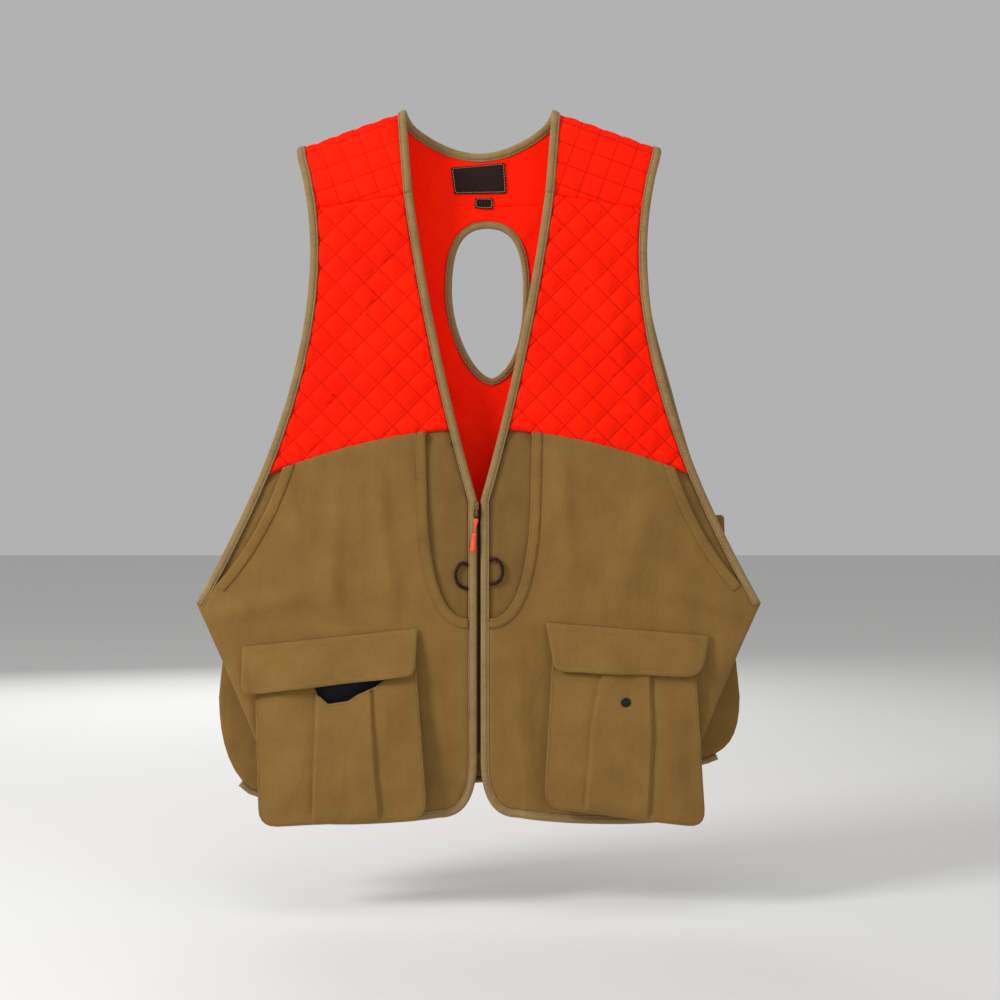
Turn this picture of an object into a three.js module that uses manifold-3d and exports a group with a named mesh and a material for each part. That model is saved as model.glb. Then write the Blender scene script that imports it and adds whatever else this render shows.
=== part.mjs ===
// An upland hunting vest hanging from its shoulders: quilted blaze orange chest and back over a
// canvas lower half, with a separating front zip, two bellows pockets and a game bag behind.
// Millimetres. X runs across the wearer's back, -Y is the front and +Z is up; the wearer's right
// is at -X. The origin is midway between the two neck points, where a hanger bears.
import * as THREE from 'three';
import { mergeVertices } from 'three/addons/utils/BufferGeometryUtils.js';
import Module from 'manifold-3d';

const wasm = await Module();
wasm.setup();

// ---- driving dimensions ----

const gap = 0.3; // running clearance between pieces that touch
const sewn = 0.6; // clearance between two layers sewn at an edge

const garmentLength = 838; // bearing line down to the front hem, beside the zip
const neckHalf = 87; // middle to each neck point
const shoulderHalf = 219; // middle to each shoulder tip
const shoulderDrop = 47; // neck point down to shoulder tip
const armholeHalf = 200; // middle to the armhole edge at its narrowest
const armholeNarrowDepth = 165; // bearing line down to that narrowest place
const underarmHalf = 336; // middle to the underarm corner
const underarmDepth = 583; // bearing line down to the underarm corner
const waistHalf = 259; // middle to the front's side edge beside the pockets
const waistRise = 81; // front hem up to the end of the curved side edge
const waistDepth = garmentLength - waistRise;
const hemHalf = 254; // middle to the side end of the front hem
const hemDip = 8; // how far the hem sags below its ends
const hemCorner = 44; // size of the rounded corner at the foot of the zip

const yokeDepth = 96; // bearing line down to the front yoke seam, at the neckline
const yokeSeamFall = 19; // how much lower that seam is at the armhole
const yokeNeckHalf = 79; // middle to the neckline at the yoke seam
const backYokeDepth = 105; // bearing line down to the back yoke seam
const backNeckDepth = 42; // bearing line down to the back neckline
const veeDepth = 461; // bearing line down to the point of the V
const veeBow = 7; // how far the V's edge bows out from a straight line
const chestSeamDepth = 374; // bearing line down to the orange and canvas seam, at the middle
const chestSeamFall = 60; // how much lower that seam is at the armhole
const backSeamDepth = 480; // bearing line down to the same seam on the back

const quiltThick = 5; // two covers and the wadding between them
const canvasThick = 1.7;
const liningThick = 1.6;
const bindingWide = 10; // folded edge binding
const bindingOver = 2.5; // how far it stands proud of the quilting, outside
const bindingUnder = 2; // and inside
const trimWide = 12; // turned and stitched edge of each pocket entry
const trimThick = 1.2;
const bodyHalf = 20; // middle plane to the inside of the quilting
const shoulderRound = 12; // radius inside the fold over the hanger
const shoulderFall = 50; // height over which the shoulders reach the body's full depth
const lap = 8; // seam allowance

const zipHalfGap = 2.2; // middle of the zip to each binding
const zipTapeWide = 14;
const zipTapeThick = 0.8;
const toothWide = 1.6;
const toothDeep = 3.5;
const zipStopTall = 9; // box and pin at the foot of the zip
const zipFootRise = 68; // front hem up to the foot of the zip
const zipFootDepth = garmentLength - zipFootRise;

const foldSlope = 0.385; // how far the fold line of each front runs outwards for each mm down
const foldGap = 0.5;

const ventMiddle = 10; // the vent hangs a little off the middle
const ventTop = 132; // bearing line down to the top of the vent opening
const ventBottom = 314;
const ventHalf = 44;
const ventBindingWide = 8;

const bagTopDepth = 488; // bearing line down to the top of the game bag
const bagHalf = 316; // middle to the bag's side at its widest
const bagWidestDepth = garmentLength - 138;
const bagTopHalf = 258;
const bagBottomHalf = 262;
const bagDeep = 27; // inside of the bag, front to back
const bagHemRise = { right: 22, left: 61 }; // front hem up to the bag's hem, each side

const pocketWall = 2;
const pocketMouthStandoff = 6; // inside of the bellows at the pocket's mouth
const pocketSlope = 0.09; // how much further out the pocket is for each mm down
const pocketCorner = 22;
const pocketMouthBelow = 30; // flap seam down to the pocket's mouth
const flapThick = 2.2;
const flapSlope = 0.3; // how far the flap leans out for each mm down
const flapCorner = 10;
const snapRadius = 5.8;
const snapThick = 1.6;

// Each side's own sizes: half widths from the middle, and heights above the front hem.
const sides = {
  right: {
    sign: -1,
    flap: { inner: 72, outer: 281, innerRise: 225, outerRise: 203, innerTall: 55, outerTall: 56, taper: 3 },
    pocket: { innerMouth: 75, outerMouth: 264, innerFoot: 60, outerFoot: 258, footRise: -7, innerLift: 10 },
    snap: { across: 171, studRise: 168, socketRise: 155 },
  },
  left: {
    sign: 1,
    flap: { inner: 79, outer: 274, innerRise: 232, outerRise: 216, innerTall: 57, outerTall: 48, taper: 11 },
    pocket: { innerMouth: 88, outerMouth: 256, innerFoot: 77, outerFoot: 267, footRise: -8, innerLift: 24 },
    snap: { across: 173, studRise: 140, socketRise: 174 },
  },
};

// Depths of the layers, from the inside out, as distances from the middle plane.
const liningInside = bodyHalf - bindingUnder; // 18
const liningOutside = liningInside + liningThick;
const quiltInside = bodyHalf;
const quiltOutside = bodyHalf + quiltThick;
const shellInside = quiltOutside + gap;
const shellOutside = shellInside + canvasThick;
const bindingInside = bodyHalf - bindingUnder;
const bindingOutside = quiltOutside + bindingOver;
const pocketBack = bindingOutside + gap;

// ---- materials ----

const cloth = (color, roughness = 0.9) => new THREE.MeshStandardMaterial({ color, roughness, metalness: 0 });
const orangeQuilt = cloth('#fb1a06', 0.75);
const canvas = cloth('#856537');
const lining = cloth('#6f522b');
const binding = cloth('#8a744c', 0.95);
const labelCloth = cloth('#1c0d0a', 0.8);
const zipTapeCloth = cloth('#3a2412');
const zipMoulding = cloth('#2b1a10', 0.5);
const orangeRubber = cloth('#e8411c', 0.55);
const cordBraid = cloth('#33181a', 0.8);
const blackMetal = new THREE.MeshStandardMaterial({ color: '#15110f', roughness: 0.4, metalness: 0.8 });

// ---- helpers for outlines, drawn in X and Z ----

const at = (x, z) => new THREE.Vector2(x, z);
const line = (...points) => points.map(([x, z]) => at(x, z));
const arcTo = (from, control, to, steps = 8) =>
  new THREE.QuadraticBezierCurve(at(...from), at(...control), at(...to)).getPoints(steps);
const sweepTo = (from, first, second, to, steps = 14) =>
  new THREE.CubicBezierCurve(at(...from), at(...first), at(...second), at(...to)).getPoints(steps);
const flip = (points, sign) => points.map((point) => at(point.x * sign, point.y));

// Joins runs of points end to end and drops those that coincide.
function path(...runs) {
  const points = runs.flat();
  return points.filter((point, index) => index === 0 || point.distanceTo(points[index - 1]) > 0.05);
}

// The same path moved sideways, to its left as it runs.
function beside(points, distance) {
  return points.map((point, index) => {
    const before = points[Math.max(index - 1, 0)];
    const after = points[Math.min(index + 1, points.length - 1)];
    const run = after.clone().sub(before).normalize();
    return at(point.x - run.y * distance, point.y + run.x * distance);
  });
}

const ribbon = (points, near, far) => [...beside(points, near), ...beside(points, far).reverse()];

// A polygon with its corners rounded off.
function rounded(corners, radii) {
  const runs = corners.map((corner, index) => {
    const radius = radii[index];
    if (radius === 0) return [at(...corner)];
    const here = at(...corner);
    const toward = (other) => here.clone().add(at(...other).sub(here).setLength(radius));
    const start = toward(corners.at(index - 1));
    const end = toward(corners[(index + 1) % corners.length]);
    return new THREE.QuadraticBezierCurve(start, here, end).getPoints(5);
  });
  return path(...runs);
}

const circle = (x, z, radius, count = 20) =>
  Array.from({ length: count }, (_, index) => {
    const angle = (index / count) * Math.PI * 2;
    return at(x + radius * Math.cos(angle), z + radius * Math.sin(angle));
  });

// ---- helpers for solids ----

function solidOf(geometry) {
  geometry.deleteAttribute('normal');
  geometry.deleteAttribute('uv');
  const merged = mergeVertices(geometry, 1e-4);
  const mesh = new wasm.Mesh({
    numProp: 3,
    vertProperties: new Float32Array(merged.attributes.position.array),
    triVerts: new Uint32Array(merged.index.array),
  });
  return new wasm.Manifold(mesh);
}

function geometryOf(solid) {
  const mesh = solid.getMesh();
  const geometry = new THREE.BufferGeometry();
  geometry.setAttribute('position', new THREE.BufferAttribute(new Float32Array(mesh.vertProperties), 3));
  geometry.setIndex(new THREE.BufferAttribute(new Uint32Array(mesh.triVerts), 1));
  return geometry;
}

// A flat piece between two depths. lean moves it in Y: by lean.x for each mm in X and lean.z in Z.
function slab(outline, front, back, lean = { x: 0, z: 0, y: 0 }) {
  const shape = new THREE.Shape(outline);
  const geometry = new THREE.ExtrudeGeometry(shape, { depth: back - front, bevelEnabled: false });
  geometry.rotateX(Math.PI / 2);
  geometry.translate(0, back + lean.y, 0);
  const shear = new THREE.Matrix4().set(1, 0, 0, 0, lean.x, 1, lean.z, 0, 0, 0, 1, 0, 0, 0, 0, 1);
  geometry.applyMatrix4(shear);
  return solidOf(geometry);
}

const tall = (outline) => slab(outline, -200, 200);

const joined = (...solids) => solids.reduce((whole, next) => whole.add(next));

function mesh(name, shape, material) {
  const geometry = shape instanceof THREE.BufferGeometry ? shape : geometryOf(shape);
  geometry.computeVertexNormals();
  const piece = new THREE.Mesh(geometry, material);
  piece.name = name;
  return piece;
}

// ---- edges of the garment, on the wearer's left; the right side mirrors them ----

const zipTop = [zipHalfGap, -veeDepth];
const veeStart = [yokeNeckHalf, -yokeDepth];
const veeControl = [(veeStart[0] + zipTop[0]) / 2 + 2 * veeBow, (veeStart[1] + zipTop[1]) / 2];
const cornerTop = [zipHalfGap, -(garmentLength - hemCorner * 1.5)];
const cornerEnd = [zipHalfGap + hemCorner, -garmentLength];
const hemEnd = [hemHalf, -(garmentLength + 1)];
const hemControl = [(hemHalf + hemCorner) / 2, -(garmentLength + 2 * hemDip)];

// Neckline to hem: down the V and the zip, round the corner and along the hem.
const openingEdge = path(
  arcTo(veeStart, veeControl, zipTop, 10),
  arcTo(cornerTop, [zipHalfGap + 1, -garmentLength], cornerEnd, 8),
  arcTo(cornerEnd, hemControl, hemEnd, 8),
);

const shoulderTip = [shoulderHalf, -shoulderDrop];
const narrow = [armholeHalf, -armholeNarrowDepth];
const underarm = [underarmHalf, -underarmDepth];
const armholeRun = underarmDepth - armholeNarrowDepth;
const armholeEdge = path(
  line([shoulderHalf + 5, -shoulderDrop + 25]),
  arcTo(shoulderTip, [armholeHalf + 1, -(shoulderDrop + armholeNarrowDepth) * 0.46], narrow, 6),
  sweepTo(
    narrow,
    [armholeHalf, -(armholeNarrowDepth + armholeRun * 0.32)],
    [armholeHalf + (underarmHalf - armholeHalf) * 0.41, -(armholeNarrowDepth + armholeRun * 0.66)],
    underarm,
  ),
);

const waist = [waistHalf, -waistDepth];
const sideControl = [(underarmHalf + waistHalf) / 2 - 6, -(underarmDepth + waistDepth) / 2 - 10];
const sideEdge = path(arcTo(underarm, sideControl, waist, 8), line(hemEnd));

const yokeSeam = line(veeStart, [armholeHalf, -(yokeDepth + yokeSeamFall)]);
const yokeSeamSlope = yokeSeamFall / (armholeHalf - yokeNeckHalf);
const yokeSeamAt = (x) => -(yokeDepth + yokeSeamSlope * (x - yokeNeckHalf));

const far = 400; // beyond the garment on every side
const chestSeam = arcTo(
  [0, -chestSeamDepth],
  [underarmHalf * 0.39, -(chestSeamDepth + chestSeamFall * 0.1)],
  [underarmHalf * 0.78, -(chestSeamDepth + chestSeamFall)],
);
const chestSeamOut = path(line([-9, -chestSeamDepth]), chestSeam, line([far, -(chestSeamDepth + 95)]));

const foldStart = at(yokeNeckHalf + 1, -yokeDepth);
const foldAt = (z) => foldStart.x + foldSlope * (foldStart.y - z);

// ---- cutters ----

const outside = 5;
const allBelow = (points, drop = 0) => [
  ...points.map((point) => at(point.x, point.y - drop)),
  at(far, -1200),
  at(points[0].x, -1200),
];
const allAbove = (points, lift = 0) => [
  ...points.map((point) => at(point.x, point.y + lift)),
  at(far, 100),
  at(points[0].x, 100),
];
const foldSide = (inward) => {
  const shift = (inward ? -1 : 1) * (foldGap / 2) * Math.hypot(1, foldSlope);
  const reach = inward ? -20 : far * 2;
  const top = 50;
  const bottom = -1200;
  return line([foldAt(top) + shift, top], [foldAt(bottom) + shift, bottom], [reach, bottom], [reach, top]);
};
const farRight = yokeSeamAt(far);
const yokeLine = line([-9, yokeSeamAt(-9)], [far, farRight]);

// Everything a front layer can cover: inside the bindings, below the yoke and inside the side edge.
const frontOutline = path(openingEdge, sideEdge.toReversed(), armholeEdge.toReversed());

function frontBlank(sign, front, back) {
  const inset = bindingWide + gap;
  return slab(flip(frontOutline, sign), front, back)
    .intersect(tall(flip(allBelow(yokeLine, gap), sign)))
    .subtract(tall(flip(ribbon(openingEdge, inset, -outside), sign)))
    .subtract(tall(flip(ribbon(armholeEdge, -inset, outside), sign)));
}

// ---- shoulders: the cloth folds over the hanger and falls to the body's depth ----

// Part of the fold between two heights above its inner face, for one stretch of the shoulder line.
function shoulderFold(face, from, to, low, high, drop) {
  const inner = (offset) => {
    const round = arcTo([0, offset], [face * (shoulderRound + offset), offset], [
      face * (shoulderRound + offset),
      -shoulderRound,
    ]);
    return [...round, at(face * (bodyHalf + offset), -shoulderFall), at(face * (bodyHalf + offset), -220)];
  };
  const section = path(inner(low), inner(high).toReversed());
  const shape = new THREE.Shape(section);
  const geometry = new THREE.ExtrudeGeometry(shape, { depth: to - from, bevelEnabled: false });
  const turn = new THREE.Matrix4().set(0, 0, 1, from, 1, 0, 0, 0, 0, 1, 0, 0, 0, 0, 0, 1);
  geometry.applyMatrix4(turn);
  const side = Math.sign(from + to);
  const fall = (drop / (shoulderHalf - neckHalf)) * side;
  const shear = new THREE.Matrix4().set(
    1, 0, 0, 0,
    0, 1, 0, 0,
    -fall, 0, 1, fall * side * neckHalf,
    0, 0, 0, 1,
  );
  geometry.applyMatrix4(shear);
  return solidOf(geometry);
}

// The whole fold on one face of the garment: level between the neck points, falling outside them.
function wholeFold(face, low, high) {
  const overlap = 0.01;
  const middle = shoulderFold(face, -neckHalf - overlap, neckHalf + overlap, low, high, 0);
  const left = shoulderFold(face, neckHalf, far, low, high, shoulderDrop);
  const right = shoulderFold(face, -far, -neckHalf, low, high, shoulderDrop);
  return joined(middle, left, right);
}

const frontFace = slab(line([-far, 100], [far, 100], [far, -1200], [-far, -1200]), -200, -gap / 2);
const backFace = slab(line([-far, 100], [far, 100], [far, -1200], [-far, -1200]), gap / 2, 200);

// Edges that run up over the shoulder line.
const frontNeckEdge = line([neckHalf + 2, 25], [neckHalf, 0], veeStart);
const backNeckEdge = path(
  line([neckHalf + 2, 25]),
  sweepTo([neckHalf, 0], [neckHalf - 7, -12], [neckHalf * 0.46, -backNeckDepth], [0, -backNeckDepth], 10),
);
const wholeNeckEdge = path(backNeckEdge, flip(backNeckEdge, -1).toReversed());

function frontYoke(name, sign) {
  const inset = bindingWide + gap;
  const outline = path(frontNeckEdge, yokeSeam, armholeEdge.slice(0, 7).toReversed());
  const piece = wholeFold(-1, 0, quiltThick)
    .intersect(frontFace)
    .intersect(tall(flip(outline, sign)))
    .intersect(tall(flip(allAbove(yokeLine, gap), sign)))
    .subtract(tall(flip(ribbon(frontNeckEdge, inset, -outside), sign)))
    .subtract(tall(flip(ribbon(armholeEdge, -inset, outside * 3), sign)));
  return mesh(name, piece, orangeQuilt);
}

// ---- the back ----

function backBlankOutline() {
  const edge = path(armholeEdge, line([waistHalf + 40, -waistDepth + 85], [waistHalf, -waistDepth]));
  return path(edge.toReversed(), line([neckHalf, 30], [-neckHalf, 30]), flip(edge, -1));
}

function backYoke() {
  const inset = bindingWide + gap;
  const seam = -backYokeDepth + gap / 2;
  let piece = wholeFold(1, 0, quiltThick)
    .intersect(backFace)
    .intersect(tall(line([-far, 100], [far, 100], [far, seam], [-far, seam])))
    .intersect(tall(backBlankOutline()))
    .subtract(tall(wholeNeckEdge))
    .subtract(tall(ribbon(wholeNeckEdge, -1, inset)));
  for (const sign of [-1, 1]) piece = piece.subtract(tall(flip(ribbon(armholeEdge, -inset, outside * 3), sign)));
  return mesh('back_yoke', piece, orangeQuilt);
}

// The bound hole through the back: round above, drawn to a point below.
function ventOutline(grow) {
  const top = -(ventTop - grow);
  const bottom = -(ventBottom + grow * 1.3);
  const half = ventHalf + grow;
  const widest = top - (ventBottom - ventTop) * 0.42;
  const run = path(
    sweepTo([0, top], [half * 0.75, top], [half, widest + 50], [half, widest], 9),
    sweepTo([half, widest], [half, widest - 46], [half * 0.5, bottom + 34], [0, bottom], 9),
  );
  const both = path(run, flip(run, -1).toReversed());
  return both.slice(0, -1).map((point) => at(point.x + ventMiddle, point.y));
}

function backQuilt() {
  const inset = bindingWide + gap;
  const top = -backYokeDepth - gap / 2;
  let piece = slab(backBlankOutline(), quiltInside, quiltOutside)
    .intersect(tall(line([-far, top], [far, top], [far, -backSeamDepth], [-far, -backSeamDepth])))
    .subtract(tall(ventOutline(ventBindingWide + gap)));
  for (const sign of [-1, 1]) piece = piece.subtract(tall(flip(ribbon(armholeEdge, -inset, outside), sign)));
  return mesh('back_quilt_panel', piece, orangeQuilt);
}

function ventBinding() {
  const front = bindingInside;
  const back = bindingOutside;
  const ring = slab(ventOutline(ventBindingWide), front, back).subtract(tall(ventOutline(0)));
  return mesh('vent_binding', ring, binding);
}

// ---- the game bag: a deep pouch across the lower back ----

function bagSide(sign) {
  const hem = garmentLength - (sign < 0 ? bagHemRise.right : bagHemRise.left);
  return flip(
    path(
      line([bagTopHalf, -bagTopDepth]),
      arcTo([underarmHalf - 36, -underarmDepth], [bagHalf - 6, -(underarmDepth + 50)], [bagHalf, -bagWidestDepth], 6),
      sweepTo(
        [bagHalf, -bagWidestDepth],
        [bagHalf, -(bagWidestDepth + 50)],
        [bagHalf - 14, -(hem - 8)],
        [bagBottomHalf, -hem],
        8,
      ),
    ),
    sign,
  );
}

const bagEdge = path(bagSide(1), bagSide(-1).toReversed());
const bagFront = shellOutside + gap;
const bagBack = bagFront + bagDeep;

function backLower() {
  const inset = bindingWide + gap;
  const top = -(backSeamDepth - lap);
  let upper = slab(backBlankOutline(), shellInside, shellOutside);
  for (const sign of [-1, 1]) upper = upper.subtract(tall(flip(ribbon(armholeEdge, -inset, outside), sign)));
  const lower = slab(bagEdge, shellInside, shellOutside).intersect(
    tall(line([-far, -underarmDepth - 14], [far, -underarmDepth - 14], [far, -1200], [-far, -1200])),
  );
  const trimmed = upper.intersect(
    tall(line([-far, top], [far, top], [far, -underarmDepth - 60], [-far, -underarmDepth - 60])),
  );
  return mesh('back_lower_panel', joined(trimmed, lower), canvas);
}

function gameBag() {
  const back = slab(bagEdge, bagBack + gap, bagBack + gap + canvasThick);
  const gusset = slab(ribbon(bagEdge, 0, -canvasThick), bagFront, bagBack);
  const edge = path(bagSide(1).slice(-3), bagSide(-1).toReversed().slice(0, 3));
  const hem = slab(ribbon(edge, gap, bindingWide * 0.8), shellInside - 1.5, bagFront + 6);
  return [
    mesh('game_bag_back', back, canvas),
    mesh('game_bag_gusset', gusset, canvas),
    mesh('game_bag_hem_binding', hem, binding),
  ];
}

// The top corner of the bag that shows past the armhole, on the wearer's left.
function bagCornerTab() {
  const inner = armholeHalf + 60;
  const top = -bagTopDepth + 9;
  const outline = rounded(
    [[inner, top - 2], [inner + 40, top], [inner + 42, top - 38], [inner, top - 34]],
    [0, 6, 6, 0],
  );
  return mesh('bag_corner_tab', slab(outline, bagBack + 2 * gap + canvasThick, bagBack + 4), canvas);
}

// ---- bindings ----

function bindingAlong(edge, near, farSide, sign) {
  const outline = tall(flip(ribbon(edge, near, farSide), sign));
  const high = bindingOutside - bodyHalf;
  return {
    front: wholeFold(-1, -bindingUnder, high).intersect(outline),
    back: wholeFold(1, -bindingUnder, high).intersect(outline),
    outline,
  };
}

// One strip round the whole armhole: up the front, over the shoulder and down the back.
function armholeBinding(name, sign) {
  const outline = flip(ribbon(armholeEdge, -bindingWide, 0), sign);
  const { front, back } = bindingAlong(armholeEdge, -bindingWide, 0, sign);
  const below = line([-far, -200], [far, -200], [far, -1200], [-far, -1200]);
  const frontRun = slab(outline, -bindingOutside, -bindingInside).intersect(tall(below));
  const backRun = slab(outline, bindingInside, bindingOutside).intersect(tall(below));
  const end = line(
    [underarmHalf + 20, -underarmDepth + 5],
    [underarmHalf + 20, -underarmDepth - 20],
    [underarmHalf - 30, -underarmDepth - 20],
    [underarmHalf - 30, -underarmDepth + 5],
  );
  const turn = slab(outline, -bindingOutside, bindingOutside).intersect(tall(flip(end, sign)));
  return mesh(name, joined(front, back, frontRun, backRun, turn), binding);
}

// One strip round the neck, from one front yoke seam over the shoulders to the other.
function neckBinding() {
  const high = bindingOutside - bodyHalf;
  const above = tall(line([-far, 100], [far, 100], [far, -yokeDepth], [-far, -yokeDepth]));
  let strip = wholeFold(1, -bindingUnder, high).intersect(tall(ribbon(wholeNeckEdge, 0, bindingWide)));
  for (const sign of [-1, 1]) {
    const { front } = bindingAlong(frontNeckEdge, 0, bindingWide, sign);
    strip = joined(strip, front.intersect(above));
  }
  return mesh('neck_binding', strip, binding);
}

// From the yoke seam down the V and the zip and along the hem. It turns with its front.
function frontBinding(name, sign) {
  const piece = slab(flip(ribbon(openingEdge, 0, bindingWide), sign), -bindingOutside, -bindingInside).intersect(
    tall(line([-far, -yokeDepth - gap], [far, -yokeDepth - gap], [far, -1200], [-far, -1200])),
  );
  return mesh(name, piece, binding);
}

// ---- layers of each front ----

function chestQuilt(sign, inward) {
  return frontBlank(sign, -quiltOutside, -quiltInside)
    .intersect(tall(flip(foldSide(inward), sign)))
    .intersect(tall(flip(allAbove(chestSeamOut, -lap), sign)));
}

function liningLayer(sign, inward) {
  return frontBlank(sign, -liningOutside, -liningInside)
    .intersect(tall(flip(foldSide(inward), sign)))
    .intersect(tall(flip(allBelow(chestSeamOut, -lap), sign)));
}

// The scooped entry beside the zip, and the slanted one beside the armhole.
const scoopHalf = 64;
const scoopFoot = [zipHalfGap + bindingWide, -(veeDepth + 141)];
const scoopEdge = path(
  line([scoopHalf, -chestSeamDepth + 20]),
  arcTo([scoopHalf - 3, -(veeDepth + 19)], [scoopHalf - 10, scoopFoot[1]], scoopFoot, 10),
  line([-10, scoopFoot[1]]),
);
const slantEdge = arcTo(
  [armholeHalf + 28, -(underarmDepth - 175)],
  [armholeHalf + 56, -(underarmDepth - 83)],
  [underarmHalf - 24, -(underarmDepth - 21)],
  8,
);

function shellLayer(sign, inward) {
  const scoop = path(scoopEdge, line([-10, -chestSeamDepth + 20]));
  const slant = path(line([far, -100], [armholeHalf + 20, -100]), slantEdge, line([far, -(underarmDepth - 21)]));
  return frontBlank(sign, -shellOutside, -shellInside)
    .intersect(tall(flip(foldSide(inward), sign)))
    .intersect(tall(flip(allBelow(chestSeamOut), sign)))
    .subtract(tall(flip(inward ? scoop : slant, sign)));
}

function entryTrim(edge, wide, sign, inward) {
  const front = -(shellOutside + gap + trimThick);
  return slab(flip(ribbon(edge, 0, wide), sign), front, -(shellOutside + gap))
    .intersect(tall(flip(allBelow(chestSeamOut), sign)))
    .intersect(tall(flip(foldSide(inward), sign)))
    .subtract(tall(flip(ribbon(openingEdge, bindingWide + gap, -20), sign)))
    .subtract(tall(flip(ribbon(armholeEdge, -bindingWide - gap, 20), sign)));
}

// Closes the side between front and back, from the underarm to where the front folds.
function sideGusset(name, sign) {
  const edge = arcTo(underarm, sideControl, waist, 8);
  const foot = -(underarmDepth + 84);
  const strip = slab(flip(ribbon(edge, -2, -2 - canvasThick), sign), -(liningInside - gap), shellInside - gap);
  const band = line([0, -underarmDepth - 12], [far, -underarmDepth - 12], [far, foot], [0, foot]);
  return mesh(name, strip.intersect(tall(flip(band, sign))), canvas);
}

// ---- pockets ----

function pocket(side) {
  const { sign, flap, pocket: body, snap } = sides[side];
  const above = (rise) => rise - garmentLength;
  const seamSlope = (flap.innerRise - flap.outerRise) / (flap.outer - flap.inner);
  const seamAt = (x) => above(flap.innerRise) - seamSlope * (x - flap.inner);
  const flapLean = { x: sign * flapSlope * seamSlope, z: flapSlope, y: -flapSlope * seamAt(0) };
  const flapOutline = rounded(
    [
      [flap.inner, seamAt(flap.inner)],
      [flap.outer, seamAt(flap.outer)],
      [flap.outer - flap.taper, above(flap.outerRise) - flap.outerTall],
      [flap.inner + flap.taper, above(flap.innerRise) - flap.innerTall],
    ],
    [0, 0, flapCorner + flap.taper, flapCorner],
  );
  const flapBack = -(bindingOutside + gap / 2);
  const flapPiece = slab(flip(flapOutline, sign), flapBack - flapThick, flapBack, flapLean);

  const mouthInner = seamAt(body.innerMouth) - pocketMouthBelow;
  const mouthOuter = seamAt(body.outerMouth) - pocketMouthBelow;
  const mouth = (mouthInner + mouthOuter) / 2;
  const wallLean = { x: 0, z: pocketSlope, y: -pocketSlope * mouth };
  const outline = rounded(
    [
      [body.innerMouth, mouthInner],
      [body.outerMouth, mouthOuter],
      [body.outerFoot, above(body.footRise)],
      [body.innerFoot, above(body.footRise) + body.innerLift],
    ],
    [0, 0, pocketCorner, pocketCorner],
  );
  const wallBack = -(pocketBack + pocketMouthStandoff);
  const wall = slab(flip(outline, sign), wallBack - pocketWall, wallBack, wallLean);

  const sewnEdge = path(outline.slice(1), outline.slice(0, 1));
  const inFrontOfShell = slab(line([-far, 0], [far, 0], [far, -1200], [-far, -1200]), wallBack + gap, 200, wallLean);
  const bellows = slab(flip(ribbon(sewnEdge, 0, -pocketWall), sign), -100, -pocketBack).intersect(inFrontOfShell);

  const stud = slab(
    circle(sign * snap.across, above(snap.studRise), snapRadius),
    wallBack - pocketWall - gap - snapThick,
    wallBack - pocketWall - gap,
    wallLean,
  );
  const socket = slab(
    circle(sign * snap.across, above(snap.socketRise), snapRadius - 1),
    flapBack + gap,
    flapBack + gap + 1,
    flapLean,
  );
  return [
    mesh(`pocket_body_${side}`, wall, canvas),
    mesh(`pocket_bellows_${side}`, bellows, canvas),
    mesh(`pocket_flap_${side}`, flapPiece, canvas),
    mesh(`snap_stud_${side}`, stud, blackMetal),
    mesh(`snap_socket_${side}`, socket, blackMetal),
  ];
}

// ---- zip ----

const box = (x0, x1, front, back, low, high) => slab(line([x0, high], [x1, high], [x1, low], [x0, low]), front, back);

function zipSide(side) {
  const { sign } = sides[side];
  const spread = (near, farSide) => [Math.min(sign * near, sign * farSide), Math.max(sign * near, sign * farSide)];
  const top = -(veeDepth + 2);
  const foot = -zipFootDepth;
  const tapeFront = -(liningInside - gap);
  const tape = box(...spread(gap, zipTapeWide), tapeFront, tapeFront + zipTapeThick, foot, top);
  const teeth = box(...spread(gap, gap + toothWide), -(liningInside + toothDeep), -liningInside, foot + zipStopTall + gap, top);
  const stop = box(...spread(gap, gap + toothWide), -(liningInside + toothDeep + 1), -liningInside, foot, foot + zipStopTall);
  const stopName = side === 'right' ? 'zip_box' : 'zip_pin';
  return [
    mesh(`zip_tape_${side}`, tape, zipTapeCloth),
    mesh(`zip_teeth_${side}`, teeth, zipMoulding),
    mesh(stopName, stop, zipMoulding),
  ];
}

const sliderTop = -(veeDepth + 2);
const sliderTall = 19;
const sliderWide = 5.2; // it keeps to its own side of the zip, so that the other front can leave it
const sliderMiddle = -(gap / 2 + sliderWide / 2);
const sliderHalf = sliderWide / 2;
const sliderThick = 2.2;
const sliderBack = -(bindingOutside + gap);
const bailBack = sliderBack - sliderThick;
const bailHigh = sliderTop - 7;
const bailEye = 2.4;
const pullAxis = { y: bailBack - 1.9, z: bailHigh - 3.4 };

function slider() {
  const plate = slab(
    rounded(
      [
        [sliderMiddle - sliderHalf, sliderTop],
        [sliderMiddle + sliderHalf, sliderTop],
        [sliderMiddle + sliderHalf - 0.6, sliderTop - sliderTall],
        [sliderMiddle - sliderHalf + 0.6, sliderTop - sliderTall],
      ],
      [2, 2, 1.6, 1.6],
    ),
    sliderBack - sliderThick,
    sliderBack,
  );
  const wedgeFoot = -(liningInside + toothDeep + gap);
  const wedge = box(gap - zipHalfGap, -gap / 2, sliderBack - 0.5, wedgeFoot, sliderTop - 10, sliderTop - 2);
  const bail = box(sliderMiddle - 1, sliderMiddle + 1, pullAxis.y - 1.8, bailBack + 0.5, bailHigh - 7, bailHigh);
  const eye = box(
    sliderMiddle - 2,
    sliderMiddle + 2,
    pullAxis.y - bailEye / 2 + 0.15,
    pullAxis.y + bailEye / 2 - 0.15,
    pullAxis.z - bailEye / 2,
    pullAxis.z + bailEye / 2,
  );
  return mesh('zip_slider', joined(plate, wedge, bail).subtract(eye), blackMetal);
}

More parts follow.
